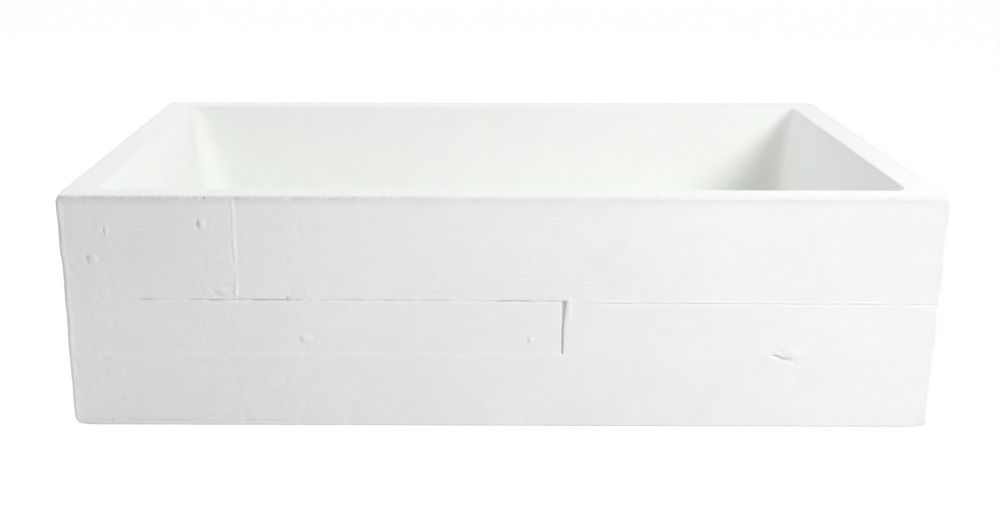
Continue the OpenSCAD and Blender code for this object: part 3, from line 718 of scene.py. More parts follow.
# %% Weave the rings into one closed skin
skin = np.concatenate([under, outside, arris, rim, walls, floor_rings, seat])
count = len(skin)
skin = np.clip(skin, (-WIDTH / 2, -DEPTH / 2, 0), (WIDTH / 2, DEPTH / 2, HEIGHT))
row, column = np.meshgrid(np.arange(count), np.arange(COLUMNS), indexing="ij")
next_row, next_column = (row + 1) % count, (column + 1) % COLUMNS
quads = np.stack([row * COLUMNS + column, row * COLUMNS + next_column,
                  next_row * COLUMNS + next_column, next_row * COLUMNS + column], -1).reshape(-1, 4)
# The zones, one for each of the three finishes: 0 outside, 1 underside, 2 bowl
first_outside, last_outside = len(under) - 3, len(under) + len(rows) + len(arris)
zone = np.full(count, 2)
zone[:first_outside] = 1
zone[first_outside:last_outside] = 0
casting_mesh = bpy.data.meshes.new("concrete_trough")
casting_mesh.from_pydata((skin.reshape(-1, 3) / 1000).tolist(), [], quads.tolist())
casting_mesh.polygons.foreach_set("material_index", np.repeat(zone, COLUMNS))
casting_mesh.polygons.foreach_set("use_smooth", np.ones(len(quads), bool))
casting_mesh.validate()
# Painted shade in the deep marks of the outside, one number at each point
painted_cavity_shade = np.zeros((count, COLUMNS), np.float32)
painted_cavity_shade[len(under):len(under) + len(rows)] = np.concatenate(painted_cavity_shades, 1)
casting_mesh.attributes.new("painted_cavity_shade", "FLOAT", "POINT").data.foreach_set("value", painted_cavity_shade.ravel())
sharpen(casting_mesh, 50)
casting = placed("concrete_trough", casting_mesh)
print("triangles of the casting:", 2 * len(quads))

# %% [markdown]
# ## The screw thread of the waste
#
# The exact model has a plain barrel at the size of the thread's crests. A real waste has a thread of 11
# turns to the inch, cut down to its root. Here a copy of the plain piece is slimmed to the root, and a
# Geometry Nodes tree sweeps a trapezoid along a spiral round it. The tree is used twice: above and below
# the groove that parts the lock nut's thread from the trap's.


# %% The end of every tree that makes a piece
def ended(tree, last, ins, outs):
    """Makes the last node's result real, gives it its finish and puts it out."""
    real = add(tree, "GeometryNodeRealizeInstances", {"Geometry": last.outputs[0]})
    dressed = add(tree, "GeometryNodeSetMaterial", {
        "Geometry": real.outputs[0], "Material": ins["Material"]})
    tree.links.new(dressed.outputs[0], outs["Geometry"])
    return tree


# %% A tree that sweeps a ridge along a helix
def sweep_tree():
    """A ridge with a trapezoid section that climbs round the upright axis and runs out at both ends."""
    inputs = [("Turns", FLOAT, 10.0), ("Radius", FLOAT, 0.02), ("Rise", FLOAT, 0.02),
              ("Foot width", FLOAT, 0.002), ("Crest width", FLOAT, 0.0005), ("Depth", FLOAT, 0.001),
              ("Start height", FLOAT, 0.0), ("Material", "NodeSocketMaterial", None)]
    tree, ins, outs = group("thread_ridge", "GeometryNodeTree", inputs, [("Geometry", GEOMETRY)])
    middle = maths(tree, "SUBTRACT", ins["Radius"], maths(tree, "MULTIPLY", ins["Depth"], 0.5))
    spiral = add(tree, "GeometryNodeCurveSpiral", {
        "Resolution": 48, "Rotations": ins["Turns"], "Start Radius": middle, "End Radius": middle,
        "Height": ins["Rise"], "Reverse": False})
    upright = add(tree, "GeometryNodeSetCurveNormal", {"Curve": spiral.outputs[0]}, mode="Z_UP")
    profile = add(tree, "GeometryNodeCurvePrimitiveQuadrilateral", {
        "Bottom Width": ins["Foot width"], "Top Width": ins["Crest width"], "Offset": 0.0,
        "Height": ins["Depth"]}, mode="TRAPEZOID")
    along = add(tree, "GeometryNodeSplineParameter").outputs["Factor"]
    from_end = maths(tree, "MINIMUM", along, maths(tree, "SUBTRACT", 1.0, along))
    run_out = maths(tree, "MULTIPLY", times(tree, from_end, ins["Turns"]), 2.5, clamp=True)
    # The trapezoid's height points up in its own plane; a quarter turn points its crest outwards
    crest_out = add(tree, "GeometryNodeTransform", {
        "Geometry": profile.outputs[0], "Rotation": (0, 0, -math.pi / 2)})
    sweep = add(tree, "GeometryNodeCurveToMesh", {
        "Curve": upright.outputs[0], "Profile Curve": crest_out.outputs[0], "Fill Caps": True,
        "Scale": maths(tree, "MAXIMUM", run_out, 0.05)})
    place = add(tree, "ShaderNodeCombineXYZ", {"Z": ins["Start height"]})
    moved = add(tree, "GeometryNodeTransform", {
        "Geometry": sweep.outputs[0], "Translation": place.outputs[0]})
    return ended(tree, moved, ins, outs)


# %% What a tree makes, as a plain mesh
def grown(tree, name, **values):
    """A plain mesh object made by a Geometry Nodes tree. The inputs' names use _ for a space."""
    holder = placed(name, bpy.data.meshes.new(name))
    modifier = holder.modifiers.new(name, "NODES")
    modifier.node_group = tree
    sockets = {s.name: s.identifier for s in tree.interface.items_tree if s.in_out == "INPUT"}
    for key, value in values.items():
        modifier[sockets[key.replace("_", " ")]] = value
    bpy.context.view_layer.update()
    evaluated = holder.evaluated_get(bpy.context.evaluated_depsgraph_get())
    mesh = bpy.data.meshes.new_from_object(evaluated)
    holder.modifiers.clear()
    holder.data = mesh
    return holder


thread_tree = sweep_tree()
print("nodes in the thread's tree:", len(thread_tree.nodes))


# %% Copies of exact pieces, merged and slimmed
def merged_copy(node, name):
    """A clean copy of an exact piece, its loose triangles merged."""
    mesh = nodes[node].data.copy()
    mesh.name = name
    builder = bmesh.new()
    builder.from_mesh(mesh)
    bmesh.ops.remove_doubles(builder, verts=builder.verts, dist=1e-6)
    builder.to_mesh(mesh)
    builder.free()
    return placed(name, mesh)


def slimmed(piece, from_r, to_r, root, low, high):
    """Brings the points between two radii and two heights in to the thread's root, and counts them."""
    moved = 0
    for vertex in piece.data.vertices:
        radius = math.hypot(vertex.co.x, vertex.co.y)
        if from_r < radius < to_r and low < vertex.co.z < high:
            vertex.co.x *= root / radius
            vertex.co.y *= root / radius
            moved += 1
    return moved


def joined(name, *pieces):
    """One object with the meshes of several."""
    builder = bmesh.new()
    for piece in pieces:
        builder.from_mesh(piece.data)
    mesh = bpy.data.meshes.new(name)
    builder.to_mesh(mesh)
    builder.free()
    for piece in pieces:
        bpy.data.objects.remove(piece)
    return placed(name, mesh)


# %% [markdown]
# ## The return spring
#
# A compression spring has evenly open turns in the middle and a closed turn at each end, so that it
# stands square. A spiral node gives a constant pitch, so the tree then moves each point of the spiral
# to its own height before it sweeps the wire along it.


# %% A tree that winds a spring
def spring_tree():
    """A wire wound round the upright axis, its first and last turns closed."""
    inputs = [("Turns", FLOAT, 8.0), ("Coil radius", FLOAT, 0.005), ("Wire", FLOAT, 0.0009),
              ("Height", FLOAT, 0.016), ("Start height", FLOAT, 0.0),
              ("Material", "NodeSocketMaterial", None)]
    tree, ins, outs = group("wound_spring", "GeometryNodeTree", inputs, [("Geometry", GEOMETRY)])
    spiral = add(tree, "GeometryNodeCurveSpiral", {
        "Resolution": 28, "Rotations": ins["Turns"], "Start Radius": ins["Coil radius"],
        "End Radius": ins["Coil radius"], "Height": ins["Height"], "Reverse": False})
    turns_up = times(tree, add(tree, "GeometryNodeSplineParameter").outputs["Factor"], ins["Turns"])
    last = maths(tree, "SUBTRACT", ins["Turns"], 1.0)
    closed_foot = maths(tree, "MINIMUM", turns_up, 1.0)
    closed_head = maths(tree, "MAXIMUM", maths(tree, "SUBTRACT", turns_up, last), 0.0)
    open_turns = maths(tree, "SUBTRACT", maths(tree, "MINIMUM", turns_up, last), closed_foot)
    open_height = maths(tree, "SUBTRACT", ins["Height"], times(tree, ins["Wire"], 2.0))
    pitch = maths(tree, "DIVIDE", open_height, maths(tree, "SUBTRACT", ins["Turns"], 2.0))
    lift = maths(tree, "ADD", times(tree, open_turns, pitch),
                 times(tree, maths(tree, "ADD", closed_foot, closed_head), ins["Wire"]))
    here = add(tree, "ShaderNodeSeparateXYZ", {0: add(tree, "GeometryNodeInputPosition").outputs[0]})
    there = add(tree, "ShaderNodeCombineXYZ", {
        "X": here.outputs["X"], "Y": here.outputs["Y"],
        "Z": maths(tree, "ADD", lift, ins["Start height"])})
    lifted = add(tree, "GeometryNodeSetPosition", {
        "Geometry": spiral.outputs[0], "Position": there.outputs[0]})
    wire = add(tree, "GeometryNodeCurvePrimitiveCircle", {
        "Resolution": 10, "Radius": times(tree, ins["Wire"], 0.5)})
    sweep = add(tree, "GeometryNodeCurveToMesh", {
        "Curve": lifted.outputs[0], "Profile Curve": wire.outputs[0], "Fill Caps": True})
    return ended(tree, sweep, ins, outs)


# %% [markdown]
# ## Effects that several finishes share
#
# Clouds, air pits and the marks of handling turn up on several surfaces. The boards' grain is on one
# only, and is kept apart because it is long. Each is a shader group with named inputs, placed in every
# material that needs it with its own values. All read the object's own coordinates in metres, so a
# pattern keeps its real size.


# %% Clouds: slow light and dark in a cast or moulded surface
def cloud_group():
    """Large clouds with smaller ones in them, from 0 to 1."""
    tree, ins, outs = group("clouds", "ShaderNodeTree", [("Vector", VECTOR, None), ("Size", FLOAT, 0.1)],
                            [("Cloud", FLOAT)])
    scale = maths(tree, "DIVIDE", 1.0, ins["Size"])
    large = noise_at(tree, ins["Vector"], scale, 3.0, Roughness=0.6)
    small = noise_at(tree, ins["Vector"], times(tree, scale, 5.3), 2.0)
    both = maths(tree, "ADD", times(tree, large, 0.7), times(tree, small, 0.3))
    tree.links.new(ramp(tree, both, 0.36, 0.64), outs["Cloud"])
    return tree


# %% Pits: round holes left by air bubbles, some cells of a grid having one and some none
def pit_group():
    """1 in a pit and 0 beside it."""
    inputs = [("Vector", VECTOR, None), ("Spacing", FLOAT, 0.02), ("Largest", FLOAT, 0.001),
              ("Share", FLOAT, 0.5)]
    tree, ins, outs = group("pits", "ShaderNodeTree", inputs, [("Pit", FLOAT)])
    cells = add(tree, "ShaderNodeTexVoronoi", {
        "Vector": ins["Vector"], "Scale": maths(tree, "DIVIDE", 1.0, ins["Spacing"])})
    luck = add(tree, "ShaderNodeSeparateColor", {"Color": cells.outputs["Color"]})
    radius = times(tree, ins["Largest"], ramp(tree, luck.outputs["Red"], 0.0, 1.0, 0.35, 1.0))
    away = maths(tree, "DIVIDE", times(tree, cells.outputs["Distance"], ins["Spacing"]), radius)
    there = maths(tree, "LESS_THAN", luck.outputs["Green"], ins["Share"])
    tree.links.new(times(tree, ramp(tree, away, 0.6, 1.1, 1.0, 0.0), there), outs["Pit"])
    return tree


# %% Grain: the boards' growth rings and saw marks, drawn out along each face
def grain_group():
    """Growth rings and the finer fibres between them, both as values."""
    inputs = [("Vector", VECTOR, None), ("Length", FLOAT, 0.06), ("Width", FLOAT, 0.003)]
    outputs = [("Grain", FLOAT), ("Fibre", FLOAT)]
    tree, ins, outs = group("board_grain", "ShaderNodeTree", inputs, outputs)
    apart = add(tree, "ShaderNodeSeparateXYZ", {0: ins["Vector"]})
    drawn = add(tree, "ShaderNodeCombineXYZ", {
        "X": maths(tree, "DIVIDE", apart.outputs["X"], ins["Length"]),
        "Y": maths(tree, "DIVIDE", apart.outputs["Y"], ins["Length"]),
        "Z": maths(tree, "DIVIDE", apart.outputs["Z"], ins["Width"])})
    fibre = noise_at(tree, scaled(tree, drawn.outputs[0], (2.2, 2.2, 3.1)), 1.0, 2.0)
    tree.links.new(noise_at(tree, drawn.outputs[0], 1.0, 4.0, Roughness=0.62), outs["Grain"])
    tree.links.new(ramp(tree, fibre, 0.42, 0.66), outs["Fibre"])
    return tree


# %% Handling marks: fine hairlines and smears on metal and plastic
def handling_group():
    """Smears from wiping, and hairlines that run round the piece."""
    inputs = [("Vector", VECTOR, None), ("Size", FLOAT, 0.004)]
    outputs = [("Smear", FLOAT), ("Hairline", FLOAT)]
    tree, ins, outs = group("handling", "ShaderNodeTree", inputs, outputs)
    scale = maths(tree, "DIVIDE", 1.0, ins["Size"])
    lines = noise_at(tree, scaled(tree, ins["Vector"], (1.0, 1.0, 14.0)), times(tree, scale, 1.4), 2.0)
    tree.links.new(noise_at(tree, ins["Vector"], scale, 3.0, Distortion=0.6), outs["Smear"])
    tree.links.new(ramp(tree, lines, 0.45, 0.7), outs["Hairline"])
    return tree


CLOUDS, PITS, GRAIN, HANDLING = cloud_group(), pit_group(), grain_group(), handling_group()
print("shared effects:", [tree.name for tree in (CLOUDS, PITS, GRAIN, HANDLING)])


# %% Helpers for materials
def effect(tree, node_group, **inputs):
    """One of the shared effects, placed in a material."""
    node = add(tree, "ShaderNodeGroup", node_tree=node_group)
    for key, value in inputs.items():
        if isinstance(value, bpy.types.NodeSocket):
            tree.links.new(value, node.inputs[key])
        else:
            node.inputs[key].default_value = value
    return node.outputs


def material(name, **shader):
    """A material with its Principled shader's own sockets set, and its object coordinates. Names of
    sockets use _ for a space."""
    made = bpy.data.materials.new(name)
    made.use_nodes = True
    tree = made.node_tree
    bsdf = tree.nodes["Principled BSDF"]
    for key, value in shader.items():
        bsdf.inputs[key.replace("_", " ")].default_value = value
    coordinates = add(tree, "ShaderNodeTexCoord").outputs["Object"]
    return made, tree, bsdf, coordinates


def blend_colours(tree, factor, first, second):
    """The colour between two as the factor goes from 0 to 1."""
    mix = add(tree, "ShaderNodeMix", data_type="RGBA")
    tree.links.new(factor, mix.inputs["Factor"])
    for socket, colour in zip([s for s in mix.inputs if s.type == "RGBA"], (first, second)):
        if isinstance(colour, bpy.types.NodeSocket):
            tree.links.new(colour, socket)
        else:
            socket.default_value = (*colour, 1)
    return [s for s in mix.outputs if s.type == "RGBA"][0]


def bump(tree, bsdf, height, depth):
    """Gives the shader a bump whose height of 1 stands for a depth in metres."""
    node = add(tree, "ShaderNodeBump", {"Height": height, "Distance": depth, "Strength": 1.0})
    tree.links.new(node.outputs[0], bsdf.inputs["Normal"])


# %% [markdown]
# ## Cast concrete, outside, under and in the bowl
#
# The concrete is a white mix, barely green, and dull all over. Outside it holds the boards' rings and
# wood fibres, and air pits. On the front it is crumbled in a line just under the rim, with painted shade
# in that line, and painted shade darkens it towards both ends. In the bowl it was rubbed smooth, so only
# clouds and pinholes are left. The marks are relief, and painted shade darkens the pits and what is
# deep.


# %% The board-formed concrete of the outside
# PALE and SHADE are the concrete's own tones; the third colour is painted shade, put into pits, deep
# marks, the line under the rim and the front's ends.
PALE, SHADE, PAINTED_SHADE = (0.845, 0.862, 0.838), (0.812, 0.829, 0.805), (0.36, 0.365, 0.35)


def painted_shade_over(tree, colour, *factors):
    """A colour darkened by painted shade, as much of it as the product of the factors."""
    return blend_colours(tree, times(tree, *factors), colour, PAINTED_SHADE)


def board_concrete():
    """Grain, pits and painted shade by place: along is from left to right, inward from front to back."""
    made, tree, bsdf, at = material("board_formed_concrete", Roughness=0.88, Specular_IOR_Level=0.25)
    along, inward, up = add(tree, "ShaderNodeSeparateXYZ", {0: at}).outputs
    # What marks the concrete
    cloud = effect(tree, CLOUDS, Vector=at, Size=0.13)["Cloud"]
    grain = effect(tree, GRAIN, Vector=at, Length=0.035, Width=0.0045)
    pit = effect(tree, PITS, Vector=at, Spacing=0.019, Largest=0.0013, Share=0.35)["Pit"]
    small_pit = effect(tree, PITS, Vector=at, Spacing=0.0062, Largest=0.0012, Share=0.2)["Pit"]
    # noise that breaks up the painted shade under the rim
    rim_shade_breakup = noise_at(tree, at, 260.0, 3.0, Roughness=0.7)
    lumps = noise_at(tree, at, 170.0, 2.0)
    sand = noise_at(tree, at, 700.0, 2.0)
    # Painted shade in the deep marks, read from the casting's points
    painted_cavity_shade = add(tree, "ShaderNodeAttribute", attribute_name="painted_cavity_shade").outputs["Fac"]
    # Where: a line just under the rim, the front, its rougher left part and its two ends
    near_rim = times(tree, ramp(tree, up, 0.2492, 0.2516), ramp(tree, up, 0.2532, 0.2541, 1.0, 0.0))
    on_front = ramp(tree, inward, -0.246, -0.2515)
    rougher = times(tree, ramp(tree, along, 0.13, -0.22, 0.1, 1.0), on_front)
    crumbled = maths(tree, "MAXIMUM", rougher, times(tree, on_front, 0.4))
    edge_pit = times(tree, small_pit, near_rim, crumbled)
    # Painted shade: the front grows darker towards both ends, most at the left, and more higher up
    painted_end_shade = maths(tree, "MAXIMUM", ramp(tree, along, -0.1, -0.4, 0.0, 0.11),
                 ramp(tree, along, 0.22, 0.46, 0.0, 0.095))
    # Colour: clouds and rings, then painted shade at the ends, in pits, under the rim and in the boards'
    # marks
    tone = maths(tree, "ADD", times(tree, cloud, 0.6), times(tree, grain["Grain"], 0.4))
    colour = blend_colours(tree, tone, SHADE, PALE)
    colour = painted_shade_over(tree, colour, painted_end_shade, ramp(tree, up, 0.1, 0.2, 0.4, 1.0), on_front)
    # Painted shade in the air pits
    colour = painted_shade_over(tree, colour, pit, 0.22)
    # Painted shade in a band under the rim, broken up and strongest on the front's crumbled part
    painted_rim_shade = maths(tree, "POWER", ramp(tree, up, 0.2405, 0.2535), 1.6)
    colour = painted_shade_over(tree, colour, painted_rim_shade, crumbled, ramp(tree, rim_shade_breakup, 0.34, 0.6, 0.45, 1.3), 0.15)
    # Painted shade in a broken dark line just under the rim, mostly at the front's left
    colour = painted_shade_over(tree, colour, ramp(tree, rim_shade_breakup, 0.36, 0.62), near_rim, crumbled, 0.13)
    # Painted shade in the pits along the rim
    colour = painted_shade_over(tree, colour, edge_pit, 0.7)
    # Painted shade in the deep marks of the boards
    colour = painted_shade_over(tree, colour, painted_cavity_shade, 0.7)
    tree.links.new(colour, bsdf.inputs["Base Color"])
    # Relief: the upper board is most worn near its middle, where soft wood has gone from its rings
    worn = times(tree, ramp(tree, along, -0.3, -0.12), ramp(tree, along, 0.2, 0.02),
                 ramp(tree, up, 0.14, 0.165, 0.25, 1.0))
    height = times(tree, grain["Grain"], maths(tree, "ADD", times(tree, worn, 2.2), 0.6))
    sandy = times(tree, sand, maths(tree, "ADD", near_rim, 0.25))
    for more in (times(tree, grain["Fibre"], 0.15), sandy, times(tree, pit, -1.0),
                 times(tree, edge_pit, -4.0), times(tree, lumps, rougher, 1.6)):
        height = maths(tree, "ADD", height, more)
    bump(tree, bsdf, height, 0.00018)
    return made


# %% The smooth concrete of the underside and the bowl
def smooth_concrete(name, roughness, cloud_size, cloudiness, sand_depth):
    """Clouds, pinholes darkened by painted shade, and fine sand. The sand's depth is in metres."""
    made, tree, bsdf, at = material(name, Roughness=roughness, Specular_IOR_Level=0.3)
    cloud = effect(tree, CLOUDS, Vector=at, Size=cloud_size)["Cloud"]
    pit = effect(tree, PITS, Vector=at, Spacing=0.03, Largest=0.0008, Share=0.5)["Pit"]
    shade = [pale + (dark - pale) * cloudiness for pale, dark in zip(PALE, SHADE)]
    # Painted shade in the pinholes
    colour = painted_shade_over(tree, blend_colours(tree, cloud, shade, PALE), pit, 0.5)
    tree.links.new(colour, bsdf.inputs["Base Color"])
    sand = noise_at(tree, at, 500.0, 3.0)
    bump(tree, bsdf, maths(tree, "SUBTRACT", sand, times(tree, pit, 2.0)), sand_depth)
    return made


underside = smooth_concrete("underside_concrete", 0.92, cloud_size=0.09, cloudiness=1.5,
                            sand_depth=0.0005)
bowl = smooth_concrete("bowl_concrete", 0.8, cloud_size=0.2, cloudiness=0.4, sand_depth=0.00018)
for concrete in (board_concrete(), underside, bowl):
    casting.data.materials.append(concrete)
print("finishes by zone:", [concrete.name for concrete in casting.data.materials])

# %% [markdown]
# ## Metal, plastic and rubber
#
# The waste and the plug are chrome-plated brass, which shows its surroundings sharply and dulls only a
# little where it is wiped. The cartridge inside is bare turned brass and steel. Washers, sleeve and
# carrier are moulded plastic, and the seals are rubber with the grey bloom that rubber gets.


# %% Finishes of the waste and the plug
def metal(name, colour, dull, roughness, size, hairline):
    """Metal whose smears are duller and rougher. Sizes are in metres."""
    made, tree, bsdf, at = material(name, Metallic=1.0)
    marks = effect(tree, HANDLING, Vector=at, Size=size)
    tree.links.new(blend_colours(tree, marks["Smear"], colour, dull), bsdf.inputs["Base Color"])
    tree.links.new(ramp(tree, marks["Smear"], 0.35, 0.75, *roughness), bsdf.inputs["Roughness"])
    bump(tree, bsdf, marks["Hairline"], hairline)
    return made


def moulded(name, colour, shade, roughness, cloud_size, hairline):
    """Plastic or rubber, clouded a little. Sizes are in metres."""
    made, tree, bsdf, at = material(name)
    cloud = effect(tree, CLOUDS, Vector=at, Size=cloud_size)["Cloud"]
    marks = effect(tree, HANDLING, Vector=at, Size=0.003)
    tree.links.new(blend_colours(tree, cloud, shade, colour), bsdf.inputs["Base Color"])
    tree.links.new(ramp(tree, marks["Smear"], 0.3, 0.7, *roughness), bsdf.inputs["Roughness"])
    bump(tree, bsdf, marks["Hairline"], hairline)
    return made


# %% Each slot's finish, given to the exact pieces
chrome = metal("chrome_plate", (0.80, 0.81, 0.82), (0.72, 0.73, 0.74),
               roughness=(0.05, 0.16), size=0.012, hairline=0.000004)
brass = metal("turned_brass", (0.75, 0.56, 0.27), (0.60, 0.42, 0.19),
              roughness=(0.22, 0.42), size=0.006, hairline=0.00002)
steel = metal("drawn_steel", (0.60, 0.61, 0.62), (0.48, 0.49, 0.50),
              roughness=(0.24, 0.40), size=0.005, hairline=0.00002)
plastic = moulded("moulded_plastic", (0.84, 0.83, 0.79), (0.78, 0.77, 0.72),
                  roughness=(0.38, 0.53), cloud_size=0.02, hairline=0.00002)
rubber = moulded("bloomed_rubber", (0.035, 0.035, 0.036), (0.075, 0.074, 0.07),
                 roughness=(0.62, 0.77), cloud_size=0.01, hairline=0.00003)
FINISH = {"chrome_plate": chrome, "bare_brass": brass, "steel": steel, "white_plastic": plastic,
          "black_rubber": rubber}
slot_of = {p["node"]: p["material_slot"] for p in frame["record"]["subparts"]}
for name, node in nodes.items():
    if slot_of[name] in FINISH:
        node.data.materials.clear()
        node.data.materials.append(FINISH[slot_of[name]])
print("finished pieces:", sum(slot in FINISH for slot in slot_of.values()))

# %% [markdown]
# ## The waste with its thread
#
# The barrel is slimmed to the thread's root, and two lengths of thread are wound on it, with the groove
# between them left free. All three are joined to one piece, as they are cut from one.


# %% The threaded waste
THREAD_PITCH, THREAD_DEPTH, CREST_R = 0.0254 / 11, 0.0012, 0.02095
GROOVE_TOP, GROOVE_FOOT = 0.050, 0.048
THREAD_TOP, SLIM_TOP = 0.0725, 0.1005  # the thread ends well below the flange, the slim part at it
INTO_ROOT = 0.0001  # the ridge is sunk this far into the barrel, so that no gap shows


def thread(name, foot, head):
    """One length of thread, from one height to another."""
    return grown(thread_tree, name, Turns=(head - foot) / THREAD_PITCH, Radius=CREST_R, Rise=head - foot,
                 Foot_width=0.88 * THREAD_PITCH, Crest_width=0.18 * THREAD_PITCH,
                 Depth=THREAD_DEPTH + INTO_ROOT, Start_height=foot, Material=chrome)


outlet_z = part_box("waste_body")[0].z
waste = merged_copy("waste_body", "waste_core")
moved = slimmed(waste, 0.0200, 0.0212, CREST_R - THREAD_DEPTH, outlet_z - 0.001, SLIM_TOP)
print("points brought in to the thread's root:", moved)
upper_thread = thread("upper_thread", GROOVE_TOP + 0.0015, THREAD_TOP)
lower_thread = thread("lower_thread", outlet_z + 0.0022, GROOVE_FOOT - 0.0012)
waste = joined("threaded_waste", waste, upper_thread, lower_thread)
waste.data.materials.append(chrome)
print("threaded waste:", len(waste.data.polygons), "faces")

# %% [markdown]
# ## The spring at its real size
#
# The exact spring's box gives the coil's width and its length. Only the wire's thickness is a number of
# its own, and half of it is kept free at both ends, so that the wound spring fills the same box.


# %% The spring
WIRE = 0.0009
spring_low, spring_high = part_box("return_spring")
coil_r = (spring_high.x - spring_low.x) / 2 - WIRE / 2
spring = grown(spring_tree(), "coil_spring", Turns=8.0, Coil_radius=coil_r, Wire=WIRE,
               Height=spring_high.z - spring_low.z - WIRE, Start_height=spring_low.z + WIRE / 2,
               Material=steel)
print("spring:", len(spring.data.polygons), "faces")

# %% [markdown]
# ## The plug's cap
#
# The cap is turned from a profile, as on a lathe, with a finer dome than the exact model's. The profile
# runs from the blind bore in the hub out under the dome, round the edge's foot and back over the top.


# %% The cap's profile and the turning
CAP_T, CAP_EDGE, CAP_RISE, CAP_ROUND = 0.002, 0.0025, 0.004, 0.0004
HUB_R, BORE_R, BORE_TOP = 0.009, 0.0041, 0.0032


def dome(radius, edge_radius):
    """Height of a dome over its edge."""
    ball = (edge_radius ** 2 + CAP_RISE ** 2) / (2 * CAP_RISE)
    return math.sqrt(ball ** 2 - radius ** 2) - ball + CAP_RISE


def lathed(name, profile, parts):
    """A piece turned from a profile of radii and heights. Both its ends lie on the upright axis."""
    turns = np.arange(parts) * 2 * math.pi / parts
    spots = [(r * math.cos(turn), r * math.sin(turn), z) for r, z in profile[1:-1] for turn in turns]
    first, last = len(spots), len(spots) + 1
    spots += [(0, 0, profile[0][1]), (0, 0, profile[-1][1])]
    faces = []
    for here in range(parts):
        beside = (here + 1) % parts
        faces += [(beside, here, first), (first - parts + here, first - parts + beside, last)]
        faces += [(level + here, level + beside, level + parts + beside, level + parts + here)
                  for level in range(0, first - parts, parts)]
    mesh = bpy.data.meshes.new(name)
    mesh.from_pydata(spots, [], faces)
    return placed(name, mesh)


cap_low, cap_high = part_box("plug_cap")
cap_r, edge_z = cap_high.x, cap_high.z - CAP_RISE
bore_z = cap_high.z - BORE_TOP
profile = [(0, bore_z), (BORE_R, bore_z), (BORE_R, cap_low.z), (HUB_R, cap_low.z)]
profile += [(r, edge_z - CAP_T + dome(r, cap_r - CAP_T)) for r in np.linspace(HUB_R, cap_r - CAP_T, 10)]
for angle in (0, 30, 60, 90):
    down, out = [CAP_ROUND * part for part in on_arc(angle)]
    profile.append((cap_r - CAP_ROUND + out, edge_z - CAP_EDGE + CAP_ROUND - down))
profile += [(cap_r, edge_z - CAP_ROUND), (cap_r - 0.0001, edge_z - 0.0001)]
profile += [(r, edge_z + dome(r, cap_r)) for r in np.linspace(cap_r - CAP_ROUND, 0, 22)]
cap = lathed("domed_cap", profile, 96)
cap.data.materials.append(chrome)
print("plug cap:", len(cap.data.polygons), "faces")

# %% Smooth shading with crisp edges
for piece in (waste, spring, cap):
    piece.data.polygons.foreach_set("use_smooth", np.ones(len(piece.data.polygons), bool))
    sharpen(piece.data, 32)
    print(piece.name, "has", sum(edge.use_edge_sharp for edge in piece.data.edges), "crisp edges")

# %% [markdown]
# ## Light, floor and background
#
# The photograph has plain studio light: soft, from the upper right, and near enough that the front fades
# towards the left. Three lamps at the right make it. One at the left, one high up and one behind reach
# the left end, the inner walls and the back, and a white room fills the shadows. The room's brightness
# for the camera is kept apart from its light on the object, so the background is white and the concrete
# isn't washed out. The floor glows for the camera only in part, so that it keeps the object's shadow.


# %% The room
FILL = 0.424


def seen_rays(tree):
    """1 for a ray that the camera sees by, also in a mirror or through glass, and 0 for others."""
    rays = add(tree, "ShaderNodeLightPath").outputs
    further = maths(tree, "ADD", rays["Is Glossy Ray"], rays["Is Transmission Ray"])
    return maths(tree, "ADD", rays["Is Camera Ray"], further, clamp=True)


world = bpy.data.worlds.new("white_room")
bpy.context.scene.world = world
world.use_nodes = True
room = world.node_tree
room.nodes.clear()
fill = add(room, "ShaderNodeBackground", {"Color": (1, 1, 1, 1), "Strength": FILL})
white = add(room, "ShaderNodeBackground", {"Color": (1, 1, 1, 1), "Strength": 1.0})
mixed = add(room, "ShaderNodeMixShader", {0: seen_rays(room), 1: fill.outputs[0], 2: white.outputs[0]})
add(room, "ShaderNodeOutputWorld", {0: mixed.outputs[0]})
print("the room lights the object with", FILL)

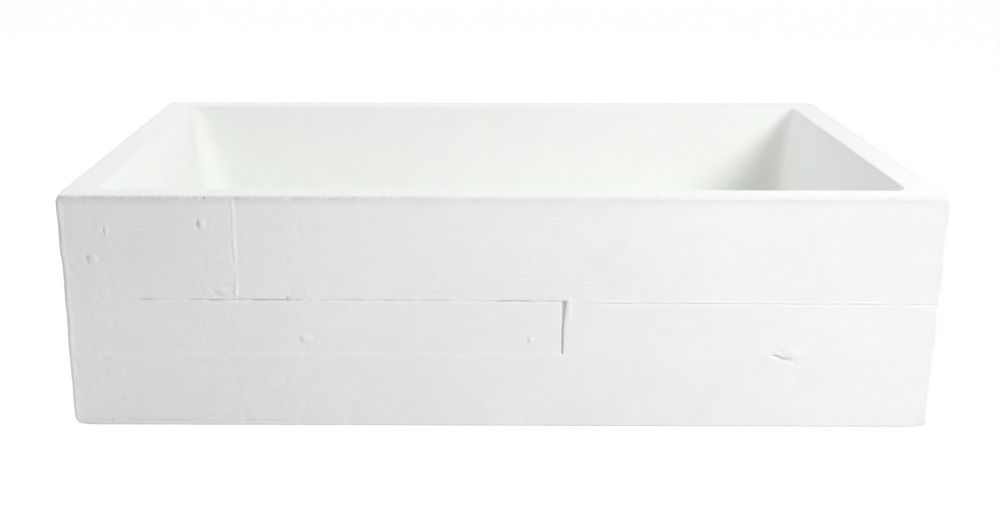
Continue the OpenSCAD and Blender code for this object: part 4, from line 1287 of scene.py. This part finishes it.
# %% Lamps: name, place, side of the square and watts
AIM = Vector((0.1, 0, 0.2))
LAMPS = [
    ("soft_key", (1.6, -1.3, 1.5), 0.7, 21.7),
    ("soft_front", (1.2, -1.9, 1.4), 0.8, 10.6),
    ("soft_near", (0.95, -1.0, 1.3), 0.5, 2.9),
    ("soft_left", (-2.2, 0.3, 1.0), 1.4, 6.4),
    ("soft_high", (-1.3, 0.6, 1.5), 0.8, 8.2),
    ("soft_back", (0.5, 2.3, 1.2), 1.4, 15.0)]
for name, place, side, watts in LAMPS:
    data = bpy.data.lights.new(name, "AREA")
    data.shape, data.size, data.energy = "SQUARE", side, watts
    lamp = placed(name, data)
    lamp.location = place
    lamp.rotation_euler = (AIM - Vector(place)).to_track_quat("-Z", "Y").to_euler()
    lamp.visible_camera = False
print(len(LAMPS), "lamps with", round(sum(watts for *_, watts in LAMPS), 1), "watts in all")

# %% The floor
FLOOR_REACH, GLOW, GLOW_SHARE = 12, 1.08, 0.87
floor_mesh = bpy.data.meshes.new("floor")
corners = [(x * FLOOR_REACH, y * FLOOR_REACH, 0) for x, y in ((-1, -1), (1, -1), (1, 1), (-1, 1))]
floor_mesh.from_pydata(corners, [], [(0, 1, 2, 3)])
floor = placed("floor", floor_mesh)
made, tree, bsdf, _ = material("white_floor", Base_Color=(0.8, 0.8, 0.8, 1), Roughness=0.9)
glow = add(tree, "ShaderNodeEmission", {"Color": (1, 1, 1, 1), "Strength": GLOW})
share = times(tree, seen_rays(tree), GLOW_SHARE)
mixed = add(tree, "ShaderNodeMixShader", {0: share, 1: bsdf.outputs[0], 2: glow.outputs[0]})
tree.links.new(mixed.outputs[0], tree.nodes["Material Output"].inputs["Surface"])
floor_mesh.materials.append(made)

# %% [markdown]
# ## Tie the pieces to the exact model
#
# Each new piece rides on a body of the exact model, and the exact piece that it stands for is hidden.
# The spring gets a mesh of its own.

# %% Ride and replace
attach(casting, "fixed")
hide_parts("basin")
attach(waste, "fixed")
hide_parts("waste_body")
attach(spring, "fixed")
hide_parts("return_spring")
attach(cap, "plug")
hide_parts("plug_cap")
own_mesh(spring)
